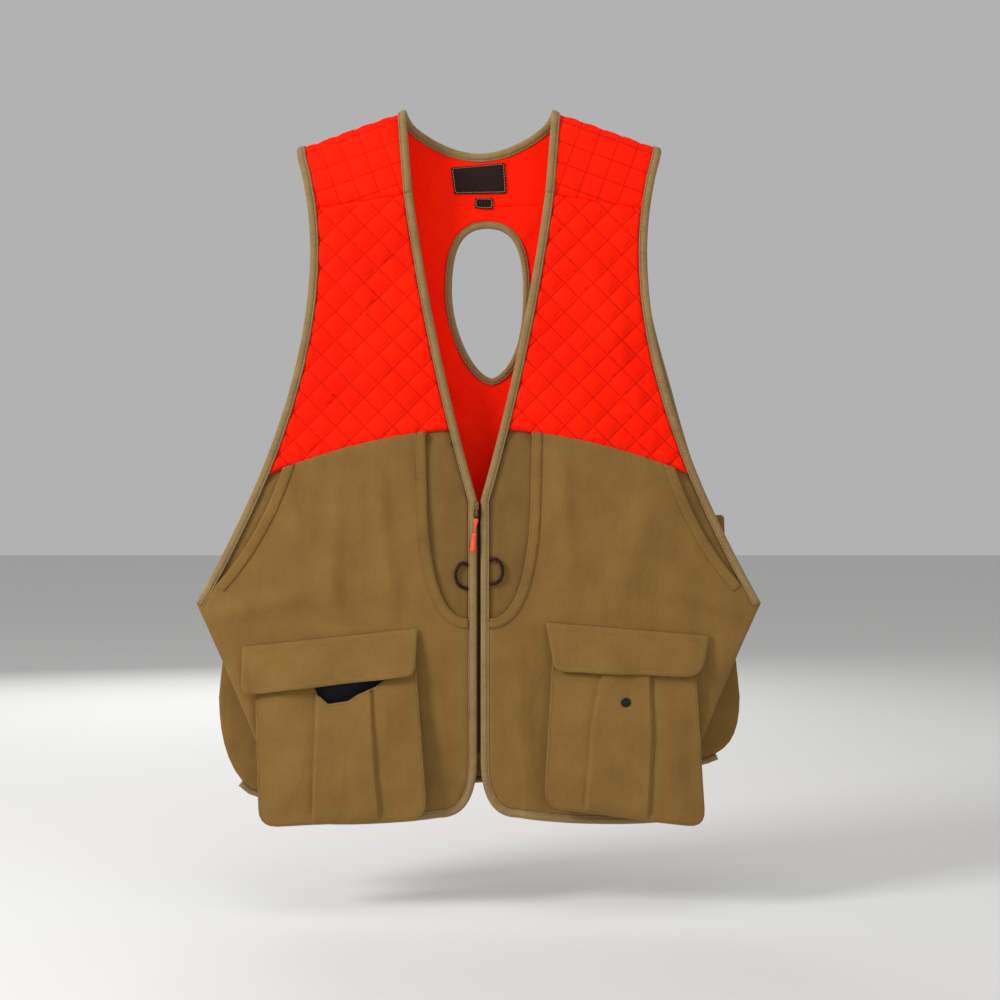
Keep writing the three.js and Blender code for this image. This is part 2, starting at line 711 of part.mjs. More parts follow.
// The pull hangs from the slider's bail: a wire ring, a short cord and a moulded grip.
const pullSwing = 0.115; // lean of the hanging pull, X for each mm down
const pullX = (drop) => sliderMiddle - pullSwing * drop;

function pull() {
  const ringTop = pullAxis.z + 0.5;
  const ringFoot = ringTop - 9.5;
  const wire = 0.9;
  const ringShape = (half, top, foot, round) =>
    rounded(
      [
        [sliderMiddle - half, top],
        [sliderMiddle + half, top],
        [sliderMiddle + half, foot],
        [sliderMiddle - half, foot],
      ],
      [round, round, round, round],
    );
  const ringHalf = sliderHalf;
  const ringOutline = ringShape(ringHalf, ringTop, ringFoot, 1.2);
  const ringHole = ringShape(ringHalf - wire, ringTop - wire, ringFoot + wire, 0.5);
  const ring = slab(ringOutline, pullAxis.y - 0.5, pullAxis.y + 0.5).subtract(tall(ringHole));
  const linkTop = ringFoot - gap;
  const linkFoot = linkTop - 17;
  const cordHalf = 1.3;
  const link = slab(
    path(
      line([pullX(0) - 2.6, linkTop], [pullX(0) + 2.6, linkTop], [pullX(6) + 2.6, linkTop - 6]),
      line([pullX(8) + cordHalf, linkTop - 8], [pullX(17) + cordHalf, linkFoot]),
      line([pullX(17) - cordHalf, linkFoot], [pullX(8) - cordHalf, linkTop - 8]),
      line([pullX(6) - 2.6, linkTop - 6]),
    ),
    pullAxis.y - 1.8,
    pullAxis.y + 0.8,
  );
  const gripTop = linkFoot - gap;
  const gripTall = 23;
  const gripOutline = rounded(
    [
      [pullX(17) - 2.8, gripTop],
      [pullX(17) + 2.8, gripTop],
      [pullX(17 + gripTall) + 3.6, gripTop - gripTall],
      [pullX(17 + gripTall) - 3.6, gripTop - gripTall],
    ],
    [1.5, 1.5, 3, 3],
  );
  const grip = slab(gripOutline, pullAxis.y - 2.3, pullAxis.y + 0.9);
  return [
    mesh('pull_ring', ring, blackMetal),
    mesh('pull_link', link, orangeRubber),
    mesh('pull_grip', grip, orangeRubber),
  ];
}

// ---- cord loops sewn into the binding seams ----

const loopRadius = 2;
const loopStart = zipHalfGap + bindingWide + gap + 0.3;
const loopDepth = liningOutside + loopRadius + sewn;
const loopRoutes = {
  right: [[0, -538], [6.2, -536], [12.2, -546], [13.2, -553], [9.2, -562], [0, -565]],
  left: [[0, -533], [7.2, -531], [14.2, -540], [15.2, -548], [10.2, -556], [0, -559]],
};

function cordLoop(side) {
  const { sign } = sides[side];
  const points = loopRoutes[side].map(([out, z]) => new THREE.Vector3(sign * (loopStart + out), -loopDepth, z));
  const route = new THREE.CatmullRomCurve3(points);
  const section = new THREE.Shape(circle(0, 0, loopRadius, 8));
  const options = { steps: 16, extrudePath: route, bevelEnabled: false };
  return mesh(`cord_loop_${side}`, solidOf(new THREE.ExtrudeGeometry(section, options)), cordBraid);
}

// ---- labels inside the back neck ----

function labels() {
  const back = quiltInside - gap;
  const label = box(-34, 34, back - 0.8, back, -98, -55);
  const tag = box(-6, 18, back - 0.8, back, -113, -98 - gap);
  return [mesh('neck_label', label, labelCloth), mesh('size_tag', tag, labelCloth)];
}

// ---- the vest ----

const vest = new THREE.Group();
vest.name = 'vest';
vest.add(backYoke(), backQuilt(), ventBinding(), backLower(), ...gameBag(), bagCornerTab(), neckBinding());
vest.add(...labels());
for (const [side, { sign }] of Object.entries(sides)) {
  vest.add(frontYoke(`front_yoke_${side}`, sign));
  vest.add(armholeBinding(`armhole_binding_${side}`, sign));
  vest.add(mesh(`chest_quilt_side_${side}`, chestQuilt(sign, false), orangeQuilt));
  vest.add(mesh(`chest_quilt_front_${side}`, chestQuilt(sign, true), orangeQuilt));
  vest.add(mesh(`lining_side_${side}`, liningLayer(sign, false), lining));
  vest.add(mesh(`lining_front_${side}`, liningLayer(sign, true), lining));
  vest.add(mesh(`shell_side_${side}`, shellLayer(sign, false), canvas));
  vest.add(mesh(`shell_front_${side}`, shellLayer(sign, true), canvas));
  vest.add(mesh(`scoop_trim_${side}`, entryTrim(scoopEdge, trimWide, sign, true), canvas));
  vest.add(mesh(`slant_trim_${side}`, entryTrim(slantEdge, -trimWide, sign, false), canvas));
  vest.add(sideGusset(`side_gusset_${side}`, sign));
  vest.add(frontBinding(`front_binding_${side}`, sign));
  vest.add(...pocket(side), ...zipSide(side), cordLoop(side));
}
vest.add(slider(), ...pull());

export default vest;
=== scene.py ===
import math

import bpy
import bmesh
import numpy as np
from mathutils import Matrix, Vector
from mathutils.geometry import delaunay_2d_cdt


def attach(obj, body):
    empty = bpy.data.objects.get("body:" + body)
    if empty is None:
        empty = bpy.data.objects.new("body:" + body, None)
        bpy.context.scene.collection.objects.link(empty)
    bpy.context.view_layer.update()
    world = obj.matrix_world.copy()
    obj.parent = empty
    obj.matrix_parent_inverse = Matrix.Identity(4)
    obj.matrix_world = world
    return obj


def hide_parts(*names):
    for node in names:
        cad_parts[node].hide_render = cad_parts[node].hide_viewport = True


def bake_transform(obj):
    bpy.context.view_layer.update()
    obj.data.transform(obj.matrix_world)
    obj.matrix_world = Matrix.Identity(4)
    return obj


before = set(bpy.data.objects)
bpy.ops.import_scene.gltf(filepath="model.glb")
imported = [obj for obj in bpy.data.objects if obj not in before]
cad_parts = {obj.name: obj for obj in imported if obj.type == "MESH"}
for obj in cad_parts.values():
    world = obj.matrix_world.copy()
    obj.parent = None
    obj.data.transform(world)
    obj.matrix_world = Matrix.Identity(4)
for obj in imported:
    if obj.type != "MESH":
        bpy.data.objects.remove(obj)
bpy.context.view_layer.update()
mm = 0.001
print("frame loaded:", len(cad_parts), "nodes")

garment = {
    "length": 838,  # bearing line down to the front hem
    "neckHalf": 87,
    "shoulderHalf": 219,
    "shoulderDrop": 47,
    "armholeHalf": 200,
    "armholeNarrow": 165,  # depth of the armhole's narrowest place
    "underarm": (336, -583),
    "waist": (259, -757),
    "hemHalf": 254,
    "hemCorner": 44,
    "hemDip": 8,
    "veeTop": (79, -96),
    "veeFoot": (2.2, -461),
    "veeBow": 14,
    "chestSeam": 374,
    "chestSeamFall": 60,
    "yokeSeamFall": 19,
    "backYoke": 105,
    "backNeck": 42,
    "backSeam": 480,
    "bodyHalf": 20,  # middle plane to the inside of the cloth
    "roundOver": 12,  # radius of the fold over the hanger
    "fallDepth": 50,  # height over which the shoulders reach the body's depth
    "foldTop": (80, -96),  # each front turns about a line from here
    "foldSlope": 0.385,
}

layers = {  # heights of each layer above the inside of the cloth
    "lining": (-2.0, -0.4),
    "shell": (5.3, 7.0),
    "trim": (7.2, 8.5),
    "tape": (-2.4, 7.9),
    "back": (5.3, 7.0),
    "bag": (7.3, 36.3),
    "label": (-2.8, -1.7),
    "ventTape": (-2.6, 7.4),
    "hem": (3.6, 13.4),
    "shadeSheet": (7.4, 8.2),
    "zipTape": (-3.1, -2.3),
}
hands = (("right", -1), ("left", 1))  # the wearer's


# Curves in the plane of the cloth, in X and height.


def bend(start, pull, end, steps=10):
    t = np.linspace(0, 1, steps + 1)[:, None]
    start, pull, end = (np.array(p, float) for p in (start, pull, end))
    return (1 - t) ** 2 * start + 2 * t * (1 - t) * pull + t**2 * end


def sweep(start, first, second, end, steps=16):
    t = np.linspace(0, 1, steps + 1)[:, None]
    a, b, c, d = (np.array(p, float) for p in (start, first, second, end))
    return (1 - t) ** 3 * a + 3 * t * (1 - t) ** 2 * b + 3 * t**2 * (1 - t) * c + t**3 * d


def joinRuns(*runs):
    points = np.vstack([np.array(r, float).reshape(-1, 2) for r in runs])
    apart = np.hypot(*(points[1:] - points[:-1]).T) > 0.05
    return points[np.concatenate([[True], apart])]


def mirrored(points, sign):
    return np.array(points, float) * (sign, 1)


def evenly(points, step, closed=False):
    points = np.vstack([points, points[:1]]) if closed else np.array(points, float)
    lengths = np.hypot(*(points[1:] - points[:-1]).T)
    run = np.concatenate([[0], np.cumsum(lengths)])
    count = max(2, int(round(run[-1] / step)) + 1)
    at = np.linspace(0, run[-1], count)
    at = at[:-1] if closed else at
    return np.column_stack([np.interp(at, run, points[:, k]) for k in (0, 1)])


def leftOf(points, closed=False):
    ahead = np.roll(points, -1, 0) - np.roll(points, 1, 0)
    if not closed:
        ahead[0], ahead[-1] = points[1] - points[0], points[-1] - points[-2]
    ahead /= np.maximum(np.hypot(*ahead.T), 1e-9)[:, None]
    return np.column_stack([-ahead[:, 1], ahead[:, 0]])


def beside(points, distance, closed=False):
    return points + leftOf(points, closed) * distance


def segmentsOf(runs, closed):
    starts, ends = [], []
    for run in runs:
        run = np.array(run, float)
        following = np.roll(run, -1, 0)
        last = len(run) if closed else len(run) - 1
        starts.append(run[:last])
        ends.append(following[:last])
    return np.vstack(starts), np.vstack(ends)


def nearest(points, starts, ends):
    # distance to the nearest segment, and the length along the run to that place
    along = ends - starts
    lengths = np.maximum(np.hypot(*along.T), 1e-9)
    before = np.concatenate([[0], np.cumsum(lengths)[:-1]])
    distance, run = [], []
    for block in np.array_split(points, max(1, len(points) // 3000)):
        offset = block[:, None, :] - starts[None]
        t = np.clip((offset * along[None]).sum(2) / lengths**2, 0, 1)
        gap = np.hypot(*(offset - t[..., None] * along[None]).transpose(2, 0, 1))
        best = gap.argmin(1)
        rows = np.arange(len(block))
        distance.append(gap[rows, best])
        run.append(before[best] + t[rows, best] * lengths[best])
    return np.concatenate(distance), np.concatenate(run)


def insideLoops(points, loops):
    starts, ends = segmentsOf(loops, True)
    inside = np.zeros(len(points), bool)
    x, z = points[:, 0], points[:, 1]
    for (ax, az), (bx, bz) in zip(starts, ends):
        if az == bz:
            continue
        crosses = (az > z) != (bz > z)
        inside ^= crosses & (x < (bx - ax) * (z - az) / (bz - az) + ax)
    return inside


def smooth(value, low, high):
    t = np.clip((value - low) / (high - low), 0, 1)
    return t * t * (3 - 2 * t)


def nodeLoops(name):
    # the outlines of a CAD node as seen from the front, in millimetres
    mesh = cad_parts[name].data
    places, edges = {}, {}
    for polygon in mesh.polygons:
        if polygon.normal.y > -0.5:
            continue
        corners = []
        for index in polygon.vertices:
            co = mesh.vertices[index].co
            corners.append((round(co.x / mm, 2), round(co.z / mm, 2)))
        for a, b in zip(corners, corners[1:] + corners[:1]):
            if (b, a) in edges:
                del edges[(b, a)]
            else:
                edges[(a, b)] = True
    for a, b in edges:
        places.setdefault(a, []).append(b)
    loops = []
    while places:
        start = next(iter(places))
        loop, here = [start], start
        while places.get(here):
            following = places[here].pop()
            if not places[here]:
                del places[here]
            if following == start:
                break
            loop.append(following)
            here = following
        places = {k: v for k, v in places.items() if v}
        if len(loop) > 2:
            loops.append(np.array(loop))
    return loops


# Edges of the garment on the wearer's left.

g = garment
zipX = g["veeFoot"][0]
veePull = (
    (g["veeTop"][0] + g["veeFoot"][0]) / 2 + g["veeBow"],
    (g["veeTop"][1] + g["veeFoot"][1]) / 2,
)
cornerTop = (zipX, -(g["length"] - g["hemCorner"] * 1.5))
cornerEnd = (zipX + g["hemCorner"], -g["length"])
hemEnd = (g["hemHalf"], -(g["length"] + 1))
hemPull = ((g["hemHalf"] + g["hemCorner"]) / 2, -(g["length"] + 2 * g["hemDip"]))
openingEdge = joinRuns(
    bend(g["veeTop"], veePull, g["veeFoot"], 16),
    bend(cornerTop, (zipX + 1, -g["length"]), cornerEnd, 12),
    bend(cornerEnd, hemPull, hemEnd, 10),
)
shoulderTip = (g["shoulderHalf"], -g["shoulderDrop"])
narrow = (g["armholeHalf"], -g["armholeNarrow"])
armholeFall = -g["underarm"][1] - g["armholeNarrow"]
armholeEdge = joinRuns(
    bend(shoulderTip, (g["armholeHalf"] + 1, (shoulderTip[1] + narrow[1]) * 0.46), narrow),
    sweep(
        narrow,
        (g["armholeHalf"], narrow[1] - armholeFall * 0.32),
        (g["armholeHalf"] + (g["underarm"][0] - g["armholeHalf"]) * 0.41,
         narrow[1] - armholeFall * 0.66),
        g["underarm"],
    ),
)
sidePull = (
    (g["underarm"][0] + g["waist"][0]) / 2 - 6,
    (g["underarm"][1] + g["waist"][1]) / 2 - 10,
)
seamSlope = g["yokeSeamFall"] / (g["armholeHalf"] - g["veeTop"][0])
yokeSeam = np.array([(60, g["veeTop"][1] + 19 * seamSlope),
                     (230, g["veeTop"][1] - 151 * seamSlope)])
chestSeam = bend(
    (0, -g["chestSeam"]),
    (g["underarm"][0] * 0.39, -g["chestSeam"] - g["chestSeamFall"] * 0.1),
    (g["underarm"][0] * 0.78, -g["chestSeam"] - g["chestSeamFall"]),
    14,
)
backNeckEdge = sweep(
    (g["neckHalf"], 0),
    (g["neckHalf"] - 7, -12),
    (g["neckHalf"] * 0.46, -g["backNeck"]),
    (0, -g["backNeck"]),
    14,
)

# The body's form: the cloth folds over the shoulders and hangs.

arcRun = g["roundOver"] * math.pi / 2
slopeFall = g["fallDepth"] - g["roundOver"]
slopeOut = g["bodyHalf"] - g["roundOver"]
slopeRun = math.hypot(slopeOut, slopeFall)
flatRun = arcRun + slopeRun
slack = flatRun - g["fallDepth"]
drapes = {
    "still": (12, 75),  # from the zip, where the cloth starts to be free
    "hang": (70, 210),  # depth over which the shoulders let go
    "frontFolds": ((2.0, 37, 150, 0.8), (0.9, 19, -64, 2.2), (1.7, 95, 78, 0.3)),
    "backFolds": ((1.8, 52, 190, 1.1), (1.2, 29, -110, 0.4)),
    "sideTurn": (9, 212, 336),  # how far the sides turn back, from and to what half width
    "backSpread": (9, -150, -300, -520),  # the left back edge stands outside the front's
    "crumple": 0.9,
    "seams": (((-72, -613), (-281, -635)), ((79, -606), (274, -622))),  # flap seams, held flat
    "calm": 17,  # how far from those seams
    "foldSize": 1.5,
}
# Soft folds that run through every layer of the fronts: from, to, height and half width.
softFolds = [
    ((-318, -600), (-205, -575), 3.4, 12), ((-232, -455), (-150, -610), 2.6, 15),
    ((-124, -400), (-98, -610), 2.4, 10), ((-58, -640), (-34, -790), 2.2, 9),
    ((-168, -455), (-176, -600), 2.0, 9), ((-285, -545), (-120, -650), -2.2, 13),
    ((-205, -300), (-150, -420), 2.2, 16), ((-160, -130), (-110, -330), 1.8, 18),
    ((-70, -400), (-46, -560), -1.8, 10), ((-290, -640), (-262, -760), 3.2, 12),
    ((318, -600), (228, -560), 3.0, 12), ((205, -455), (166, -580), 2.4, 16),
    ((96, -390), (110, -582), 2.4, 11), ((40, -640), (62, -800), 2.0, 10),
    ((140, -560), (262, -600), -2.0, 12), ((150, -250), (215, -410), 2.2, 16),
    ((40, -500), (24, -600), 1.6, 8), ((290, -640), (262, -770), 3.2, 12),
    ((28, -420), (52, -520), 1.8, 9), ((120, -140), (170, -300), 1.7, 18),
]


def ridgeAt(x):
    fall = (np.abs(x) - g["neckHalf"]) / (g["shoulderHalf"] - g["neckHalf"])
    return -g["shoulderDrop"] * np.clip(fall, 0, None)


def crumple(x, z):
    # small uneven creases, from waves that cross at odd angles
    return (np.sin(x / 19 + 1.4 * np.sin(z / 31)) * np.sin(z / 23 + 1.1 * np.sin(x / 27))
            + 0.6 * np.sin((x + z) / 9.5 + 2 * np.sin(z / 40)) * np.sin((x - 2 * z) / 41))


def besideLine(x, z, start, end):
    # the share of the way along a line, and how far off it
    (ax, az), (bx, bz) = start, end
    run = math.hypot(bx - ax, bz - az)
    return (((x - ax) * (bx - ax) + (z - az) * (bz - az)) / run**2,
            ((x - ax) * (bz - az) - (z - az) * (bx - ax)) / run)


def waves(x, z, folds):
    return sum(size * np.sin(x / wide + z / tall + start) for size, wide, tall, start in folds)


def softness(x, z, face):
    # how far the hanging cloth stands off its plain form
    held = smooth(-z, *drapes["hang"])
    free = smooth(np.abs(x), *drapes["still"])
    front, back = waves(x, z, drapes["frontFolds"]), waves(x, z, drapes["backFolds"])
    for start, end, size, wide in softFolds:
        share, off = besideLine(x, z, start, end)
        front = front + (drapes["foldSize"] * size * np.exp(-((off / wide) ** 2))
                         * smooth(share, -0.15, 0.25) * smooth(-share, -1.15, -0.7))
    front = front + drapes["crumple"] * crumple(x, z)
    for start, end in drapes["seams"]:
        share, off = besideLine(x, z, start, end)
        calm = (np.exp(-((off / drapes["calm"]) ** 2))
                * smooth(share, -0.15, 0.05) * smooth(-share, -1.15, -0.95))
        front = front * (1 - calm)
    turn, turnFrom, turnTo = drapes["sideTurn"]
    sides = turn * smooth(np.abs(x), turnFrom, turnTo)
    return np.where(face < 0, (front * free - sides) * held, back * held)


def runBelow(depth):
    depth = np.maximum(depth, 0)
    onArc = g["roundOver"] * np.arccos(np.clip(1 - depth / g["roundOver"], -1, 1))
    onSlope = arcRun + (depth - g["roundOver"]) * slopeRun / slopeFall
    onFlat = flatRun + depth - g["fallDepth"]
    onSlope = np.where(depth < g["fallDepth"], onSlope, onFlat)
    return np.where(depth < g["roundOver"], onArc, onSlope)


def unfold(points, face):
    # from X and Z on one face to the cloth laid flat, with the front's heights kept
    points = np.array(points, float).reshape(-1, 2)
    ridge = ridgeAt(points[:, 0])
    run = runBelow(ridge - points[:, 1])
    return np.column_stack([points[:, 0], ridge + slack + face * run])


def overBody(points, height):
    # from the flat cloth to its place, height millimetres above the inside of the cloth
    x, laid = points[:, 0], points[:, 1]
    ridge = ridgeAt(x)
    run = ridge + slack - laid
    face = np.where(run > 0, -1.0, 1.0)
    run = np.abs(run)
    angle = np.minimum(run, arcRun) / g["roundOver"]
    share = np.clip((run - arcRun) / slopeRun, 0, 1)
    out = g["roundOver"] * np.sin(angle) + slopeOut * share
    z = ridge - g["roundOver"] * (1 - np.cos(angle)) - slopeFall * share
    z = z - np.maximum(run - flatRun, 0)
    lean = np.interp(run, [0, arcRun, 26, 48, 64], [90, 8, 12, 12, 0])
    out = out + height * np.cos(np.radians(lean)) + softness(x, z, face)
    z = z + height * np.sin(np.radians(lean))
    size, top, most, foot = drapes["backSpread"]
    spread = size * smooth(z, foot, most) * smooth(-z, -top, -most + 40)
    x = x + np.where(face > 0, spread * smooth(x, 120, 190), 0)
    return np.column_stack([x, face * out, z])


def onBack(points, height):
    return overBody(unfold(points, 1), height)


def onFront(points, height):
    return overBody(unfold(points, -1), height)


# Making meshes.


def meshOf(name, points, faces, materials, faceSlots=None, marks=None):
    mesh = bpy.data.meshes.new(name)
    mesh.from_pydata([tuple(p) for p in np.array(points) * mm], [], [tuple(f) for f in faces])
    for material in materials:
        mesh.materials.append(material)
    if faceSlots is not None:
        mesh.polygons.foreach_set("material_index", np.array(faceSlots, np.int32))
    if marks is not None:
        layer = mesh.attributes.new("cloth", "FLOAT_VECTOR", "POINT")
        layer.data.foreach_set("vector", np.array(marks, np.float32).ravel())
    shape = bmesh.new()
    shape.from_mesh(mesh)
    bmesh.ops.recalc_face_normals(shape, faces=shape.faces)
    shape.to_mesh(mesh)
    shape.free()
    mesh.polygons.foreach_set("use_smooth", np.ones(len(mesh.polygons), bool))
    piece = bpy.data.objects.new(name, mesh)
    bpy.context.scene.collection.objects.link(piece)
    return piece


def tube(count, ring, closed=False):
    # faces around a run of sections of so many points, its ends closed
    faces = [(k * ring + j, k * ring + (j + 1) % ring, (k + 1) % count * ring + (j + 1) % ring,
              (k + 1) % count * ring + j)
             for k in range(count if closed else count - 1) for j in range(ring)]
    if not closed:
        faces += [tuple(range(ring)), tuple(range((count - 1) * ring, count * ring))[::-1]]
    return faces


stitch = {"pitch": 3.4, "long": 2.3, "wide": 0.75, "high": 0.5}


def level(height):
    return lambda points: np.full(len(points), height)


def stitchRow(run, place, heightAt, closed=False, within=None):
    # one raised thread dash after another; returns points and faces
    centres = evenly(run, stitch["pitch"], closed)
    side = leftOf(centres, closed)
    if within is not None:
        kept = insideLoops(centres, within)
        centres, side = centres[kept], side[kept]
    if len(centres) == 0:
        return np.zeros((0, 3)), []
    ahead = np.column_stack([side[:, 1], -side[:, 0]])
    points = []
    for step, lift in ((-0.5, -0.35), (0, 1), (0.5, -0.35)):
        for across, rise in ((-0.5, -0.6), (0, 1), (0.5, -0.6)):
            spot = centres + ahead * step * stitch["long"] + side * across * stitch["wide"]
            raised = lift if rise > 0 else -0.35
            points.append(place(spot, heightAt(spot) + stitch["high"] * raised))
    points = np.stack(points, 1).reshape(-1, 3)
    pattern = [(0, 1, 4, 3), (1, 2, 5, 4), (3, 4, 7, 6), (4, 5, 8, 7),
               (2, 0, 3, 5), (5, 3, 6, 8), (0, 2, 1), (6, 7, 8)]
    faces = [tuple(9 * n + k for k in face) for n in range(len(centres)) for face in pattern]
    return points, faces


def clothPanel(name, loops, place, inner, outer, materials, step=5.0, turn=0.0, rings=(1.0,),
               edge=1.2, rows=(), openRuns=None, markAt=None, folds=()):
    # a closed layer of cloth: outer and inner give its two faces' heights at flat places
    borders = [sharpened(loop, step) for loop in loops]
    starts, ends = segmentsOf(borders, True)
    if openRuns is not None:
        keep = ~openRuns(starts, ends)
        rimStarts, rimEnds = starts[keep], ends[keep]
    else:
        rimStarts, rimEnds = starts, ends
    corners = np.vstack(borders)
    cosine, sine = math.cos(turn), math.sin(turn)
    a, b = corners @ (cosine, sine), corners @ (-sine, cosine)
    gridA, gridB = np.meshgrid(
        np.arange(math.ceil(a.min() / step), math.floor(a.max() / step) + 1) * step,
        np.arange(math.ceil(b.min() / step), math.floor(b.max() / step) + 1) * step,
    )
    grid = np.column_stack([
        (gridA * cosine - gridB * sine).ravel(), (gridA * sine + gridB * cosine).ravel()])
    grid = grid[insideLoops(grid, borders)]
    clear, _ = nearest(grid, rimStarts, rimEnds)
    grid = grid[clear > max(rings) + 0.4 * step]
    inset = []
    for border in borders:
        for ring in rings:
            for way in (1, -1):
                ringPoints = beside(border, way * ring, True)
                ringPoints = ringPoints[insideLoops(ringPoints, borders)]
                off, _ = nearest(ringPoints, rimStarts, rimEnds)
                inset.append(ringPoints[off > ring * 0.93])
    for run in folds:  # closer points where the cloth is creased
        for off in (-3.2, -1.6, 0, 1.6, 3.2):
            crease = beside(evenly(run, step), off)
            crease = crease[insideLoops(crease, borders)]
            away, _ = nearest(crease, rimStarts, rimEnds)
            inset.append(crease[away > 1.0])
    flat = np.vstack([corners, grid] + inset)
    links, first = [], 0
    for border in borders:
        count = len(border)
        links += [(first + k, first + (k + 1) % count) for k in range(count)]
        first += count
    result = delaunay_2d_cdt([Vector(p) for p in flat], links, [], 0, 0.02)
    flat = np.array([tuple(v) for v in result[0]])
    triangles = np.array([f for f in result[2] if len(f) == 3])
    triangles = triangles[insideLoops(flat[triangles].mean(1), borders)]
    used, triangles = np.unique(triangles, return_inverse=True)
    flat, triangles = flat[used], triangles.reshape(-1, 3)
    off, _ = nearest(flat, rimStarts, rimEnds)
    high, low = outer(flat), inner(flat)
    middle = (high + low) / 2
    plump = np.sqrt(1 - (1 - np.clip(off / edge, 0, 1)) ** 2) * 0.8 + 0.2
    top = place(flat, middle + (high - middle) * plump)
    foot = place(flat, middle + (low - middle) * plump)
    count = len(flat)
    sides = np.sort(np.vstack([triangles[:, [k, (k + 1) % 3]] for k in range(3)]), 1)
    pairs, times = np.unique(sides, axis=0, return_counts=True)
    rim = pairs[times == 1]
    faces = [tuple(t) for t in triangles] + [tuple(t[::-1] + count) for t in triangles]
    faces += [(p, q, q + count, p + count) for p, q in rim]
    points = [top, foot]
    laid = markAt(flat) if markAt else flat
    marks = [np.column_stack([laid, off + 0.01]), np.column_stack([laid, -off - 0.01])]
    slots = [0] * len(faces)
    total = 2 * count
    for row in rows:
        threads, dashes = stitchRow(row["run"], place, row.get("height", outer),
                                    row.get("closed", False), borders)
        faces += [tuple(k + total for k in dash) for dash in dashes]
        slots += [row.get("thread", 1)] * len(dashes)
        points.append(threads)
        marks.append(np.zeros((len(threads), 3)))
        total += len(threads)
    piece = meshOf(name, np.vstack(points), faces, materials, slots, np.vstack(marks))
    area = sum(abs(shoelace(loop)) for loop in loops)
    size = corners.max(0) - corners.min(0)
    piece["flatSize"] = [float(size[0] * mm), float(size[1] * mm), float(area * mm * mm)]
    return piece


def shoelace(loop):
    x, z = loop[:, 0], loop[:, 1]
    return 0.5 * float(np.sum(x * np.roll(z, -1) - np.roll(x, -1) * z))


def sharpened(loop, step):
    # the same loop with no side longer than a step, its corners kept
    points = []
    for a, b in zip(loop, np.roll(loop, -1, 0)):
        length = math.hypot(*(b - a))
        if length < 0.3:
            continue
        count = max(1, int(round(length / step)))
        points += [a + (b - a) * k / count for k in range(count)]
    return np.array(points)


# Rounded section of folded binding: share of the width across, share of the thickness up.
tapeSection = [
    (0, 0.5), (0.02, 0.72), (0.07, 0.88), (0.18, 0.98), (0.45, 1), (0.68, 0.98), (0.76, 0.9),
    (0.8, 0.84), (0.84, 0.9), (0.92, 0.94), (0.98, 0.86), (1, 0.75), (1, 0.3), (0.98, 0.14),
    (0.92, 0.06), (0.84, 0.1), (0.8, 0.16), (0.76, 0.1), (0.68, 0.02), (0.45, 0), (0.18, 0.02),
    (0.07, 0.12), (0.02, 0.28),
]
tapeShape = {"wide": 10.3, "step": 3.5, "waver": 0.35}


def edgeTape(name, run, way, place, materials, wide=None, heights=None, closed=False,
             section=None, stitchAt=(0.8,)):
    # a folded strip along an edge; way is 1 where the cloth lies to the left of the run
    wide = wide or tapeShape["wide"]
    low, high = heights or layers["tape"]
    section = section or tapeSection
    centres = evenly(run, tapeShape["step"], closed)
    inward = leftOf(centres, closed) * way
    count, ring = len(centres), len(section)
    waver = tapeShape["waver"] * np.sin(np.arange(count) * 0.9) * np.sin(np.arange(count) * 0.37)
    low = low(centres) if callable(low) else np.full(count, float(low))
    high = high(centres) if callable(high) else np.full(count, float(high))
    points, marks = [], []
    for across, up in section:
        spot = centres + inward * (across * wide)
        points.append(place(spot, low + (high - low) * up + waver * (0.5 if up > 0.5 else -0.5)))
        length = np.arange(count) * tapeShape["step"]
        marks.append(np.column_stack([length, np.full(count, across * wide), np.full(count, 9)]))
    points = np.stack(points, 1).reshape(-1, 3)
    marks = np.stack(marks, 1).reshape(-1, 3)
    faces = tube(count, ring, closed)
    slots, total, allPoints = [0] * len(faces), len(points), [points]
    for share in stitchAt:
        line = centres + inward * (share * wide)
        for up in (0.86, 0.14):
            lift = float(np.mean(low + (high - low) * up))
            out = 1 if up > 0.5 else -1
            threads, dashes = stitchRow(
                line, lambda p, h: place(p, lift + (h - lift) * out),
                level(lift), closed)
            faces += [tuple(k + total for k in dash) for dash in dashes]
            slots += [1] * len(dashes)
            allPoints.append(threads)
            marks = np.vstack([marks, np.zeros((len(threads), 3))])
            total += len(threads)
    return meshOf(name, np.vstack(allPoints), faces, materials, slots, marks)


# Materials.


def linear(hexColour):
    shares = [int(hexColour[k : k + 2], 16) / 255 for k in (1, 3, 5)]
    return tuple(s / 12.92 if s <= 0.04045 else ((s + 0.055) / 1.055) ** 2.4 for s in shares) + (1,)


def feed(socket, value):
    # a link, an sRGB hex colour or a plain value
    if isinstance(value, bpy.types.Node):
        value = value.outputs[0]
    if isinstance(value, bpy.types.NodeSocket):
        socket.id_data.links.new(value, socket)
    else:
        socket.default_value = linear(value) if isinstance(value, str) else value


def addNode(tree, kind, inputs=None, stops=(), **settings):
    made = tree.nodes.new("ShaderNode" + kind)
    for name, value in settings.items():
        setattr(made, name, value)
    for socket, value in (inputs or {}).items():
        feed(made.inputs[socket], value)
    for spot, (where, tone) in zip(made.color_ramp.elements if stops else (), stops):
        spot.position, spot.color = where, linear(tone)
    return made


def wire(shader, **sockets):
    for socket, value in sockets.items():
        feed(shader.inputs[socket.replace("_", " ")], value)


def newMaterial(name, **sockets):
    material = bpy.data.materials.new(name)
    material.use_nodes = True
    shader = material.node_tree.nodes["Principled BSDF"]
    wire(shader, **sockets)
    return material, material.node_tree, shader


def bands(period):
    # Wave texture scale for bands this many millimetres apart, in metres
    return 2 * math.pi / 20 / (period * mm)


